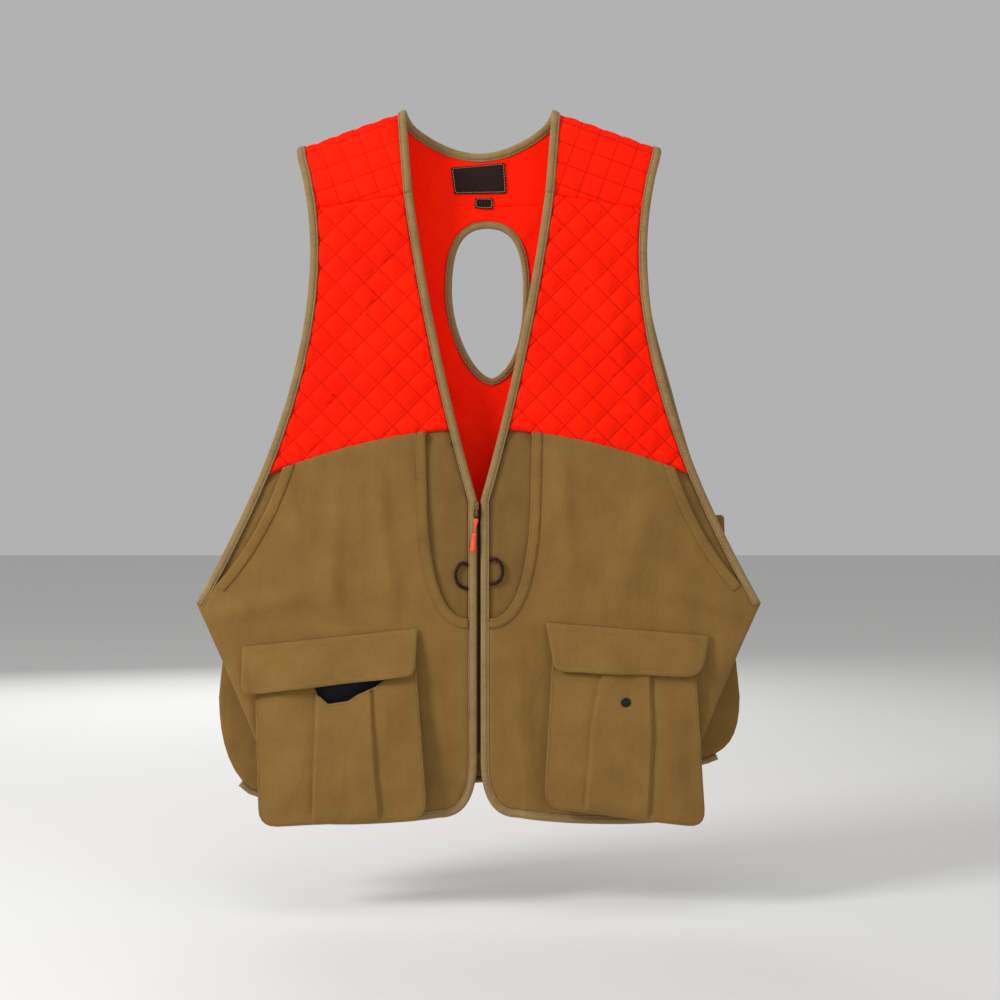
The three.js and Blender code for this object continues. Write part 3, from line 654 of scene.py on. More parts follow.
def wovenCloth(name, dark, light, thread, depth, roughness, sheen, slub=0.5):
    # woven cloth: two crossing sets of threads, uneven yarn, and slow changes of tone from handling
    material, tree, shader = newMaterial(name, Roughness=roughness, Sheen_Weight=sheen,
                                         Sheen_Roughness=0.5, Specular_IOR_Level=0.25)
    place = addNode(tree, "TexCoord").outputs["Object"]
    warp, weft = (
        addNode(tree, "TexWave", {"Vector": place, "Scale": bands(apart), "Distortion": 0.6,
                "Detail": 1.0}, bands_direction=way).outputs["Fac"]
        for apart, way in ((thread, "X"), (thread * 1.1, "Z")))
    weave = addNode(tree, "Math", {0: warp, 1: weft}, operation="MULTIPLY")
    yarn = addNode(tree, "TexNoise", {"Vector": place, "Scale": 420.0, "Detail": 3.0,
                   "Roughness": 0.7})
    tone = addNode(tree, "TexNoise", {"Vector": place, "Scale": 30.0, "Detail": 6.0,
                   "Roughness": 0.7})
    uneven = addNode(tree, "Math", {0: yarn, 1: slub, 2: -slub / 2}, operation="MULTIPLY_ADD")
    mixed = addNode(tree, "Math", {0: tone, 1: uneven}, operation="ADD")
    ramp = addNode(tree, "ValToRGB", {"Fac": mixed}, ((0.3, dark), (0.72, light)))
    bump = addNode(tree, "Bump", {"Height": weave, "Strength": depth, "Distance": 0.0004})
    rough = addNode(tree, "Bump", {"Height": yarn, "Strength": depth * 0.6, "Distance": 0.0005,
                    "Normal": bump})
    drawn = addNode(tree, "Mapping", {"Vector": place, "Scale": (1, 1, 0.3)})
    crease = addNode(tree, "TexNoise", {"Vector": drawn, "Scale": 30.0, "Detail": 3.0,
                     "Roughness": 0.45, "Distortion": 0.5})
    creased = addNode(tree, "Bump", {"Height": crease, "Strength": 0.4, "Distance": 0.006,
                      "Normal": rough})
    wire(shader, Base_Color=ramp, Normal=creased)
    return material


def quiltedCloth(name, colour, shade, turn):
    # fluorescent polyester over wadding: a faint emission paints a glow that lifts it where it lies
    # in shade, and rows of stitching draw it down into soft valleys
    material, tree, shader = newMaterial(name, Roughness=0.7, Specular_IOR_Level=0.05,
                                         Emission_Color="#ff1200", Emission_Strength=0.07)
    place = addNode(tree, "Attribute", attribute_name="cloth").outputs["Vector"]
    lines = []
    for angle in (turn, turn + math.pi / 2):
        turned = addNode(tree, "VectorRotate", {"Vector": place, "Angle": -angle},
                         rotation_type="Z_AXIS")
        split = addNode(tree, "SeparateXYZ", {0: turned})
        valley = addNode(tree, "Math", {0: split.outputs[1], 1: quilting["spacing"] / 2},
                         operation="PINGPONG")
        run = addNode(tree, "Math", {0: split.outputs[0], 1: 1.6}, operation="PINGPONG")
        dash = addNode(tree, "Math", {0: run, 1: 0.45}, operation="GREATER_THAN")
        near = addNode(tree, "MapRange", {"Value": valley, "From Min": 0.35, "From Max": 1.5,
                       "To Min": 1.0, "To Max": 0.0})
        lines.append(addNode(tree, "Math", {0: near, 1: dash}, operation="MULTIPLY"))
    thread = addNode(tree, "Math", {0: lines[0], 1: lines[1]}, operation="MAXIMUM")
    side = addNode(tree, "SeparateXYZ", {0: place}).outputs[2]  # the inside shows its rows less
    outside = addNode(tree, "Math", {0: side, 1: 0.0}, operation="GREATER_THAN")
    strength = addNode(tree, "MapRange", {"Value": outside, "To Min": 0.1, "To Max": 0.55})
    weaken = addNode(tree, "Math", {0: thread, 1: strength}, operation="MULTIPLY")
    position = addNode(tree, "TexCoord").outputs["Object"]
    tone = addNode(tree, "TexNoise", {"Vector": position, "Scale": 14.0, "Detail": 4.0})
    base = addNode(tree, "Mix", {0: tone, 6: colour[0], 7: colour[1]}, data_type="RGBA").outputs[2]
    # the rows drawn towards the dark red: partly the quilting thread, partly painted shade of the
    # valleys the stitching draws
    threadAndValleyShade = addNode(tree, "Mix", {0: weaken, 6: base, 7: shade}, data_type="RGBA").outputs[2]
    crinkle = addNode(tree, "TexNoise", {"Vector": position, "Scale": 130.0, "Detail": 3.0,
                      "Distortion": 0.4})
    bump = addNode(tree, "Bump", {"Height": crinkle, "Strength": 0.35, "Distance": 0.0012})
    wire(shader, Base_Color=threadAndValleyShade, Normal=bump)
    return material


quilting = {
    "spacing": 24.0,
    "thick": 4.0,  # along the rows
    "pillow": 3.4,  # how much higher between them
    "yokePillow": 2.2,
    "seamed": 4.2,  # where it lies under the canvas
    "chest": math.radians(45),
    "yoke": math.radians(20),
    "overlap": 8,  # lower back over the quilting
    "tuck": 2.5,  # how far cloth goes in under its binding
    "fill": 0.3,
}
orangeTones = ("#f01202", "#fb2203")
# dark red of the quilting rows: partly thread, partly painted shade in the valleys
orangeShade = "#6e0402"
# brushed cotton duck: matt, its threads only a grain at arm's length, drawn coarser to show
canvas = wovenCloth("brushedCottonCanvas", "#785829", "#82622d", 1.3, 0.35, 0.9, 0.1)
# plain cotton lining: flatter and a little darker than the canvas
liningCloth = wovenCloth("plainCottonLining", "#6f5126", "#7a5b2b", 1.3, 0.3, 0.92, 0.08)
# twill tape folded over the edges: paler, with a coarse grain that catches the light
bindingCloth = wovenCloth("foldedTwillTape", "#80663c", "#937a50", 1.6, 0.5, 0.93, 0.1, 0.7)
# painted shade: near-black cloth, dark as a navy lining, for a sheet behind the right pocket's
# mouth, so the mouth reads as a dark opening
pocketShadeCloth = wovenCloth("paintedShadePocketCloth", "#15151b", "#24242c", 1.3, 0.3, 0.9, 0.05)
# damask woven label: fine, dark brown and dull
labelCloth = wovenCloth("darkWovenLabel", "#150806", "#210d09", 0.9, 0.4, 0.85, 0.03)
# woven polyester zip tape: a dark line on each side of the teeth
zipCloth = wovenCloth("brownZipTape", "#33200f", "#47301a", 1.2, 0.5, 0.9, 0.05)
# spun polyester sewing threads: soft, a little glossier than the cloth they lie on. The tan one is
# darker than the canvas partly as its own colour and partly as painted shade of the small crease
# each row draws
tanThreadAndCreaseShade, orangeThread, paleThread = (
    newMaterial(f"{name}SewingThread", Base_Color=tone, Roughness=0.7)[0]
    for name, tone in (("tan", "#48341a"), ("orange", "#c4240c"), ("pale", "#b59a6c")))
canvasSewn, bindingSewn = [canvas, tanThreadAndCreaseShade], [bindingCloth, paleThread]
print("materials made")

# Finishing each piece.


def dressed(piece, slot, body, *nodes):
    # the piece's slot (not used), the CAD nodes it stands for, and the body it moves with
    if nodes:
        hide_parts(*nodes)
    if body:
        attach(piece, body)


def foldOffset(points, sign):
    # how far outside a front's fold line, along the cloth
    out = points[:, 0] * sign - g["foldTop"][0] - g["foldSlope"] * (g["foldTop"][1] - points[:, 1])
    return out / math.hypot(1, g["foldSlope"])


def acrossFold(kind, side, sign):
    # one layer's outline, with its two CAD nodes drawn together at the fold line
    loops = []
    normal = np.array((sign, g["foldSlope"])) / math.hypot(1, g["foldSlope"])
    for part in ("side", "front"):
        for loop in nodeLoops(f"{kind}_{part}_{side}"):
            off = foldOffset(loop, sign)
            near = np.abs(off) < 0.5
            loop[near] -= off[near, None] * normal
            loops.append(loop)
    return loops


def onFoldLine(sign):
    return lambda starts, ends: (np.abs(foldOffset(starts, sign)) < 0.06) & (
        np.abs(foldOffset(ends, sign)) < 0.06)


def bendsWithFront(piece):
    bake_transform(piece)


def along(points, run, closed=False):
    return nearest(points, *segmentsOf([run], closed))


def insetLoop(loop, distance):
    border = sharpened(loop, 3.0)
    way = 1 if shoelace(border) > 0 else -1
    moved = beside(border, way * distance, True)
    off, _ = nearest(moved, *segmentsOf([border], True))
    return moved[off > distance * 0.93]


def waviness(points, seed):
    x, z = points[:, 0], points[:, 1]
    return (np.sin(x / 23 + seed) * np.sin(z / 29 + 1.7 * seed)
            + 0.6 * np.sin(x / 11 - z / 17 + 2.3 * seed) + 0.4 * np.sin(z / 9 + x / 31 + seed))


def pillow(points, angle, spacing):
    a = points @ (math.cos(angle), math.sin(angle))
    b = points @ (-math.sin(angle), math.cos(angle))
    return np.sqrt(np.abs(np.sin(math.pi * a / spacing) * np.sin(math.pi * b / spacing)))


def gathers(points, run, reach, size, period):
    # small folds that a row of stitching draws across itself
    off, length = along(points, run)
    wave = np.sin(length * 2 * math.pi / period + 1.6 * np.sin(length / 23))
    return size * wave * np.exp(-off / reach) - 1.2 * size * np.exp(-((off / 2.2) ** 2))


# Camera.

view = {"from": (0.0252, -2.2, -0.461), "sensor": 36, "lens": 66}
camera = bpy.data.objects.new("camera", bpy.data.cameras.new("camera"))
camera.location = view["from"]
camera.rotation_euler = (math.radians(90), 0, 0)
camera.data.sensor_width, camera.data.lens = view["sensor"], view["lens"]
bpy.context.scene.collection.objects.link(camera)
bpy.context.scene.camera = camera

# Cord loops beside the zip.

cordLoops = {
    "thick": 4.0,
    "above": 6.2,  # height of the cord's middle
    "start": 12.8,
    "right": [(0, -538), (5.5, -535.5), (11.5, -540), (14.5, -549), (13, -558), (8, -564),
              (0, -566)],
    "left": [(0, -533), (6, -530.5), (12.5, -535), (15.5, -544), (14, -553), (8.5, -559),
             (0, -561)],
}


def braidedCord(name):
    # polyester cord: dark braid with light flecks where the tracer yarns surface
    material, tree, shader = newMaterial(name, Roughness=0.8, Specular_IOR_Level=0.2)
    place = addNode(tree, "TexCoord").outputs["Object"]
    flecks = addNode(tree, "TexVoronoi", {"Vector": place, "Scale": 700.0})
    ramp = addNode(tree, "ValToRGB", {"Fac": flecks}, ((0.1, "#a3704c"), (0.2, "#260a0c")))
    bump = addNode(tree, "Bump", {"Height": flecks, "Strength": 0.6, "Distance": 0.0006})
    wire(shader, Base_Color=ramp, Normal=bump)
    return material


cordMaterial = braidedCord("fleckedPolyesterBraid")


def curveThrough(knots, count):
    # a smooth route through the knots
    knots = np.array(knots, float)
    padded = np.vstack([2 * knots[0] - knots[1], knots, 2 * knots[-1] - knots[-2]])
    points = []
    for at in np.linspace(0, len(knots) - 1 - 1e-6, count):
        k, t = int(at), at - int(at)
        a, b, c, d = padded[k : k + 4]
        points.append(0.5 * (2 * b + (c - a) * t + (2 * a - 5 * b + 4 * c - d) * t * t
                             + (3 * b - a - 3 * c + d) * t**3))
    return np.array(points)


for side, sign in hands:
    flat = curveThrough(cordLoops[side], 24)
    arch = np.sin(np.linspace(0, math.pi, 24)) * 1.5
    places = np.column_stack([
        sign * (cordLoops["start"] + flat[:, 0]), -(g["bodyHalf"] + cordLoops["above"] + arch),
        flat[:, 1]]) * mm
    curve = bpy.data.curves.new(f"cordLoop_{side}", "CURVE")
    curve.dimensions = "3D"
    curve.bevel_depth = cordLoops["thick"] / 2 * mm
    curve.bevel_resolution = 4
    curve.use_fill_caps = True
    spline = curve.splines.new("POLY")
    spline.points.add(len(places) - 1)
    for point, spot in zip(spline.points, places):
        point.co = (*spot, 1)
    curve.materials.append(cordMaterial)
    loop = bpy.data.objects.new(f"cordLoop_{side}", curve)
    bpy.context.scene.collection.objects.link(loop)
    dressed(loop, "cord", f"front_{side}", f"cord_loop_{side}")

# Quilted orange cloth.

# polyester over wadding: flat, saturated orange with fine darker rows
chestOrange = quiltedCloth("quiltedPolyesterChest", orangeTones, orangeShade, quilting["chest"])
yokeOrange = quiltedCloth("quiltedPolyesterYoke", orangeTones, orangeShade, -quilting["yoke"])


def quiltFace(angle, seams, rise=quilting["pillow"], mirror=False):
    # the quilting's outer face: pillows between the rows, drawn in at the seams

    def height(points):
        spots = np.column_stack([np.abs(points[:, 0]), points[:, 1]]) if mirror else points
        up = quilting["thick"] + rise * pillow(spots, angle, quilting["spacing"])
        for run, reach, gather, period in seams:
            up = up + gathers(points, run, reach, gather, period)
        return up + 0.3 * waviness(points, 1.1)

    return height


def seamed(under, pressed, off):
    # the quilting thins towards the canvas that covers its edge
    flat = quilting["seamed"]
    return np.where(under, flat, np.minimum(pressed, flat + 0.4 + off * 0.5))


def yoke():
    # one piece over both shoulders, from the front seams to the seam across the back
    inset = tapeShape["wide"] - 1.5
    frontNeck = np.array([g["veeTop"], (g["neckHalf"], 0)])
    leftNeck = joinRuns(unfold(evenly(frontNeck, 6), -1), unfold(backNeckEdge, 1))
    neck = joinRuns(leftNeck, mirrored(leftNeck, -1)[::-1])
    neckInset = beside(evenly(neck, 5), -inset)
    armhole = joinRuns(unfold(armholeEdge[::-1], -1), unfold(armholeEdge, 1))
    armInset = beside(evenly(armhole, 3), inset)
    backLine = unfold([(x, -g["backYoke"] - 1.5) for x in np.linspace(-230, 230, 47)], 1)

    def seamAt(x):
        return np.interp(np.abs(x), yokeSeam[:, 0], yokeSeam[:, 1])

    def between(points):
        back = np.interp(points[:, 0], backLine[:, 0], backLine[:, 1])
        return (points[:, 1] > seamAt(points[:, 0]) - 0.8) & (points[:, 1] < back)

    neckInset = neckInset[between(neckInset)]
    armInset = armInset[between(armInset)]
    foot = lambda p: np.array([[p[0], seamAt(p[0]) - 0.8]])
    across = backLine[np.abs(backLine[:, 0]) < armInset[-1][0]]
    loop = joinRuns(
        foot(neckInset[0]), neckInset, foot(neckInset[-1]),
        foot(mirrored(armInset, -1)[0]), mirrored(armInset, -1), across, armInset[::-1],
        foot(armInset[0]),
    )
    frontSeams = [mirrored(yokeSeam, sign) for sign in (1, -1)]
    above = [run + (0, 7) for run in frontSeams]
    seams = [(run, 9, 0.9, 13) for run in frontSeams] + [(run, 5, 0.5, 11) for run in above]
    outer = quiltFace(-quilting["yoke"], seams, quilting["yokePillow"], mirror=True)
    inner = lambda p: -0.4 * np.abs(np.sin(p[:, 0] / 13 + 0.8 * np.sin(p[:, 1] / 21))) - 0.2
    piece = clothPanel(
        "yoke", [loop], overBody, inner, outer, [yokeOrange, orangeThread], step=4.5,
        rings=(1.2, 3.5), edge=4, rows=[{"run": run} for run in above],
        markAt=lambda p: np.column_stack([np.abs(p[:, 0]), p[:, 1]]))
    dressed(piece, "orange_quilt", "back", "back_yoke", "front_yoke_right", "front_yoke_left")
    return neck, armhole


neckRun, armholeRun = yoke()
print("yoke made")


def chestQuilt(side, sign):
    seam = mirrored(chestSeam, sign)
    topSeam = mirrored(yokeSeam, sign)
    angle = quilting["chest"]
    pressed = quiltFace(angle, [(topSeam, 9, 1.0, 13), (seam + (0, 6), 8, 0.7, 12)])

    def seamAt(points):
        return np.interp(points[:, 0] * sign, chestSeam[:, 0], chestSeam[:, 1])

    def outer(points):
        off, _ = along(points, seam)
        return seamed(points[:, 1] < seamAt(points) + 1, pressed(points), off)

    inner = lambda p: -0.8 * pillow(p, angle, quilting["spacing"])
    loops = [sharpened(loop, 4.0) for loop in acrossFold("chest_quilt", side, sign)]
    for loop in loops:  # over the entries the cloth ends at the seam
        edge, out = seamAt(loop) - 1.2, loop[:, 0] * sign
        low = (loop[:, 1] < edge) & ((out < 62) | (out > 224))
        loop[low, 1] = edge[low]
    piece = clothPanel(
        f"chestQuilt_{side}", loops, onFront, inner, outer,
        [chestOrange, orangeThread], step=quilting["spacing"] / 6, turn=angle, rings=(1.2, 3.2),
        edge=4, openRuns=onFoldLine(sign), rows=[{"run": seam + (0, 6)}])
    dressed(piece, "orange_quilt", None, f"chest_quilt_side_{side}", f"chest_quilt_front_{side}")
    bendsWithFront(piece)


vent = {"middle": 10, "lean": 5, "top": -132, "bottom": -314, "half": 43, "wide": 8.5}


def ventEdge():
    half, top, bottom = vent["half"], vent["top"], vent["bottom"]
    widest = top - (top - bottom) * 0.42
    run = joinRuns(
        sweep((0, top), (half * 0.75, top), (half, widest + 50), (half, widest), 12),
        sweep((half, widest), (half, widest - 55), (half * 0.52, bottom + 6), (0, bottom), 12))
    both = joinRuns(run, mirrored(run, -1)[::-1])[:-1]
    lean = vent["lean"] * smooth(-both[:, 1], -widest, -bottom)
    return both + np.column_stack([vent["middle"] + lean, 0 * lean])


def backQuilt():
    outline = max(nodeLoops("back_quilt_panel"), key=lambda loop: abs(shoelace(loop)))
    way = 1 if shoelace(outline) > 0 else -1
    loops = [beside(sharpened(outline, 4.0), -quilting["tuck"] * way, True)]
    loops.append(beside(ventEdge(), vent["wide"] - 1, True))
    angle = quilting["chest"]
    top = np.array([(-220, -g["backYoke"]), (220, -g["backYoke"])])
    pressed = quiltFace(angle, [(top, 9, 0.7, 14)])

    def outer(points):
        above = points[:, 1] + g["backSeam"] - quilting["overlap"]
        return seamed(above < 1, pressed(points), above)

    inner = lambda p: 0.3 - 0.7 * pillow(p, angle, quilting["spacing"]) - 0.9 * waviness(p, 0.7)
    piece = clothPanel("backQuilt", loops, onBack, inner, outer, [chestOrange, orangeThread],
                       step=quilting["spacing"] / 6, turn=angle, rings=(1.2, 3.2), edge=4)
    dressed(piece, "orange_quilt", "back", "back_quilt_panel")


for side, sign in hands:
    chestQuilt(side, sign)
backQuilt()
print("quilted panels made")

# Canvas of the fronts.

fronts = {
    # the lining comes forward below the chest seam, and sooner at the entries
    "liningOut": {"by": 4.2, "below": 9, "atEntries": 2, "over": 10},
    "entries": (60, 226),
    "scoop": ((64, -354), (61, -480), (54, -602), (12.2, -602)),
    "slant": ((228, -408), (256, -500), (312, -562)),
    "trimStitch": (1.8, 10.4),
}


def flatCloth(layer, wave=0.0, seed=0.0, out=None):
    low, high = layers[layer]

    def at(base):
        def height(points):
            lift = wave * waviness(points, seed)
            if out:
                x = np.abs(points[:, 0])
                down = np.interp(x, chestSeam[:, 0], chestSeam[:, 1]) - points[:, 1]
                inmost, outmost = fronts["entries"]
                covered = (x > inmost) & (x < outmost)
                start = np.where(covered, out["below"], out["atEntries"])
                lift = lift + out["by"] * smooth((down - start) / out["over"], 0, 1)
            return base + lift

        return height

    return at(low), at(high)


def frontCanvas(side, sign):
    liningInner, liningOuter = flatCloth("lining", 0.15, 0.4, fronts["liningOut"])
    lining = clothPanel(f"frontLining_{side}", acrossFold("lining", side, sign), onFront,
                        liningInner, liningOuter, [liningCloth], step=9,
                        openRuns=onFoldLine(sign))
    dressed(lining, "lining", None, f"lining_side_{side}", f"lining_front_{side}")
    bendsWithFront(lining)
    shellInner, shellOuter = flatCloth("shell", 0.2, 1.9)
    shell = clothPanel(f"frontShell_{side}", acrossFold("shell", side, sign), onFront,
                       shellInner, shellOuter, canvasSewn, step=6,
                       openRuns=onFoldLine(sign))
    dressed(shell, "canvas", None, f"shell_side_{side}", f"shell_front_{side}")
    bendsWithFront(shell)
    scoopTop, *scoopBend = fronts["scoop"]
    scoop = joinRuns([scoopTop], bend(*scoopBend, 14), [(-10, scoopBend[-1][1])])
    slant = bend(*fronts["slant"])
    for kind, run, body in (("scoop", scoop, f"front_{side}"), ("slant", slant, "back")):
        trimInner, trimOuter = flatCloth("trim", 0.2, 1.9)
        rows = [{"run": mirrored(beside(run, off), sign)} for off in fronts["trimStitch"]]
        trim = clothPanel(f"{kind}Trim_{side}", nodeLoops(f"{kind}_trim_{side}"), onFront,
                          trimInner, trimOuter, canvasSewn, step=4, edge=1.4, rows=rows)
        dressed(trim, "canvas", body, f"{kind}_trim_{side}")
    binding = edgeTape(f"frontBinding_{side}", unfold(mirrored(openingEdge, sign), -1), sign,
                       overBody, bindingSewn)
    dressed(binding, "binding", f"front_{side}", f"front_binding_{side}")
    run = mirrored(armholeRun, sign)
    tape = edgeTape(f"armholeBinding_{side}", run, sign, overBody, bindingSewn)
    dressed(tape, "binding", "back", f"armhole_binding_{side}")


for side, sign in hands:
    frontCanvas(side, sign)
neckTape = edgeTape("neckBinding", neckRun, -1, overBody, bindingSewn)
dressed(neckTape, "binding", "back", "neck_binding")
print("fronts made")

# Pockets.

pockets = {
    "right": {
        "sign": -1, "flap": ((72, -613), (281, -635)), "seed": 0.3,
        "pleats": (((-655, -193), (-720, -190), (-850, -194)),
                   ((-655, -128), (-760, -122), (-850, -114))),
        "sag": ((-264, 0), (-197, 0), (-192, 34), (-186, 38), (-177, 47), (-153, 46), (-143, 40),
                (-122, 33), (-100, 18), (-84, 4)),
        "stud": (-171, -708), "studInside": True, "socket": (-171, -676),
    },
    "left": {
        "sign": 1, "flap": ((79, -606), (274, -622)), "seed": 2.1,
        "pleats": (((-640, 150), (-726, 134), (-850, 124)),
                   ((-640, 202), (-740, 204), (-850, 198))),
        "sag": None, "studInside": False, "stud": (173, -699), "socket": (173, -651),
    },
}
pocketForm = {
    "mouthBelow": 30,  # flap seam down to the pocket's mouth
    "mouth": 13.6,  # height of the wall's inside at its mouth
    "slope": 0.09,  # how much further out it is for each mm down
    "thick": 2.0,
    "bulge": 7.0,
    "pleatStep": 3.6,
    "creaseDepth": 1.6,
    "topstitch": 7.5,  # flap edge to its row of stitches
    "sewnTo": 7.3,
    "flapFrom": 7.65,
    "flapSlope": 0.3,
    "flapThick": 2.2,
}
# Folded side of a pocket: share of the width inwards, share of the way out to its wall.
bellowsSection = [
    (0, 0), (0.02, 0.12), (0.2, 0.3), (0.5, 0.42), (0.55, 0.5), (0.45, 0.6), (0.15, 0.8),
    (0, 0.92), (0.02, 1.0), (0.24, 1.0), (0.3, 0.9), (0.5, 0.7), (0.85, 0.5), (0.5, 0.3),
    (0.28, 0.12), (0.24, 0),
]


def lathe(name, centre, base, profile, place, material, sides=28):
    # a small round metal part standing on the cloth: profile is (radius, height)
    points, turns = [], np.linspace(0, 2 * math.pi, sides, endpoint=False)
    for radius, high in profile:
        spot = np.array(centre) + radius * np.column_stack([np.cos(turns), np.sin(turns)])
        points.append(place(spot, np.full(sides, base + high)))
    return meshOf(name, np.vstack(points), tube(len(profile), sides), [material])


def enamelledMetal(name, colour, roughness, metallic):
    # pressed metal under enamel or plate: smooth, with small dents and rubbed patches
    material, tree, shader = newMaterial(name, Metallic=metallic)
    place = addNode(tree, "TexCoord").outputs["Object"]
    rub = addNode(tree, "TexNoise", {"Vector": place, "Scale": 500.0, "Detail": 4.0})
    ramp = addNode(tree, "ValToRGB", {"Fac": rub}, ((0.35, colour[0]), (0.75, colour[1])))
    gloss = addNode(tree, "MapRange", {"Value": rub, "To Min": roughness - 0.1,
                    "To Max": roughness + 0.15})
    wire(shader, Base_Color=ramp, Roughness=gloss)
    return material


# black enamel on brass snaps: dark with a soft shine; old brass: dull yellow, rubbed brighter
blackMetal = enamelledMetal("blackEnamelledBrass", ("#100e0d", "#2a2623"), 0.35, 0.6)
brass = enamelledMetal("agedBrass", ("#6f5530", "#a08450"), 0.4, 0.9)
studProfile = [(5.8, 0), (5.8, 0.8), (5.2, 1.5), (3.6, 1.7), (3.0, 1.3), (2.4, 1.3), (2.0, 2.6),
               (1.4, 3.0), (0.7, 3.0), (0.3, 2.2)]


def pocket(side):
    p, form = pockets[side], pocketForm
    sign = p["sign"]
    (inX, inZ), (outX, outZ) = p["flap"]

    def seamAt(points):
        return inZ + (points[:, 0] * sign - inX) * (outZ - inZ) / (outX - inX)

    def below(points):
        return seamAt(points) - points[:, 1]

    loops = nodeLoops(f"pocket_body_{side}")
    border = sharpened(loops[0], 4.0)
    atMouth = below(border) < form["mouthBelow"] + 1.5
    if p["sag"]:
        where, fall = np.array(p["sag"]).T
        border[atMouth, 1] -= np.interp(border[atMouth, 0], where, fall, left=0, right=0)

    def wallInner(points):
        down = below(points) - form["mouthBelow"]
        off, _ = nearest(points, *segmentsOf([sharpened(loops[0], 8)], True))
        up = form["mouth"] + form["slope"] * down
        up = up + form["bulge"] * smooth(off, 0, 60) * smooth(down, 15, 90)
        lines = [np.interp(points[:, 1], *np.array(sorted(line)).T) for line in p["pleats"]]
        inFrom, inTo = min(lines, key=np.mean), max(lines, key=np.mean)
        x = points[:, 0]
        step = smooth(x, inFrom - 1.5, inFrom + 1.5) * smooth(-x, -inTo - 1.5, -inTo + 1.5)
        crease = sum(np.exp(-(((x - at) / 5) ** 2)) for at in lines)
        up = (up + form["pleatStep"] * step * smooth(off, 0, 12)
              - form["creaseDepth"] * crease * (1 - step) * smooth(off, 2, 12))
        return up + 0.8 * waviness(points, p["seed"]) * smooth(off, 0, 25) * smooth(down, 15, 60)

    def wallOuter(points):
        return wallInner(points) + form["thick"]

    wall = clothPanel(f"pocketWall_{side}", [border], onFront, wallInner, wallOuter,
                      canvasSewn, step=5, rings=(1.2, 3), edge=1.4,
                      folds=[np.array(line)[:, ::-1] for line in p["pleats"]],
                      rows=[{"run": insetLoop(border, 2.5)}])
    dressed(wall, "canvas", f"front_{side}", f"pocket_body_{side}")
    whole = sharpened(loops[0], 4.0)
    mouth = below(whole) < form["mouthBelow"] + 1.5
    first = next(k for k in range(len(whole)) if mouth[k - 1] and not mouth[k])
    ordered = np.roll(whole, -first, 0)
    sewn = ordered[: int((~mouth).sum())]
    way = 1 if shoelace(whole) > 0 else -1
    bellows = edgeTape(f"pocketBellows_{side}", sewn, way, onFront, canvasSewn, wide=7,
                       heights=(form["sewnTo"], wallOuter), section=bellowsSection, stitchAt=())
    dressed(bellows, "canvas", f"front_{side}", f"pocket_bellows_{side}")

    def flapInner(points):
        down = below(points)
        wave = 1.3 * np.sin(points[:, 0] / 15 + p["seed"] + down / 30) * smooth(down, 8, 55)
        wave = wave + 0.5 * np.sin(points[:, 0] / 7.3 - down / 19) * smooth(down, 8, 40)
        return form["flapFrom"] + form["flapSlope"] * down + wave + 0.8 * smooth(-down, -12, 0)

    outline = nodeLoops(f"pocket_flap_{side}")
    topstitch = insetLoop(outline[0], form["topstitch"])
    creased = lambda q: (flapInner(q) + form["flapThick"]
                         + 0.5 * smooth(along(q, topstitch, True)[0], 0, 2.5))
    flap = clothPanel(f"pocketFlap_{side}", outline, onFront, flapInner, creased, canvasSewn,
                      step=4, rings=(1.2,), edge=1.6, rows=[{"run": topstitch, "closed": True}])
    dressed(flap, "canvas", f"flap_{side}", f"pocket_flap_{side}")
    at = np.array([p["stud"]], float)
    base = float(wallInner(at)[0] if p["studInside"] else wallOuter(at)[0])
    rise = -1 if p["studInside"] else 1  # one mouth is rolled in, and its stud faces inwards
    stud = lathe(f"snapStud_{side}", p["stud"], base, [(r, h * rise) for r, h in studProfile],
                 onFront, blackMetal)
    dressed(stud, "black_metal", f"front_{side}", f"snap_stud_{side}")
    at = np.array([p["socket"]], float)
    socket = lathe(f"snapSocket_{side}", p["socket"], float(flapInner(at)[0]),
                   [(r * 0.85, -h * 0.5) for r, h in studProfile[:6]], onFront, blackMetal)
    dressed(socket, "black_metal", f"flap_{side}", f"snap_socket_{side}")


for side in pockets:
    pocket(side)
# painted shade: a near-black sheet laid on the shell behind the right pocket's mouth, standing in
# for the shade inside the pocket
shadeSheetCorners = np.array([(-204, -640), (-90, -640), (-90, -725), (-204, -725)], float)
shadeSheet = clothPanel("pocketShadeSheet_right", [shadeSheetCorners], onFront,
                    *(level(h) for h in layers["shadeSheet"]), [pocketShadeCloth, tanThreadAndCreaseShade], step=8)
dressed(shadeSheet, "lining", "front_right")
print("pockets made")

# The back: bound vent, lower back and game bag.

ventTape = edgeTape("ventBinding", ventEdge(), 1, onBack, bindingSewn,
                    wide=vent["wide"], heights=layers["ventTape"], closed=True)
dressed(ventTape, "binding", "back", "vent_binding")
backInner, backOuter = flatCloth("back", 0.5, 3.1)
lowerOutline = sharpened(nodeLoops("back_lower_panel")[0], 4.0)
lowerWay = 1 if shoelace(lowerOutline) > 0 else -1
grown = beside(lowerOutline, -quilting["tuck"] * lowerWay, True)
for sign in (-1, 1):  # the panel is tucked under the armhole's binding
    bound = along(lowerOutline, mirrored(armholeEdge, sign))[0] < tapeShape["wide"] + 2
    lowerOutline[bound] = grown[bound]
lowerBack = clothPanel("lowerBack", [lowerOutline], onBack, backInner, backOuter,
                       canvasSewn, step=10)
dressed(lowerBack, "canvas", "back", "back_lower_panel")

bagForm = {"thick": 1.8, "round": 24, "sag": 4.5, "pleat": 2.6, "wave": 2.0}


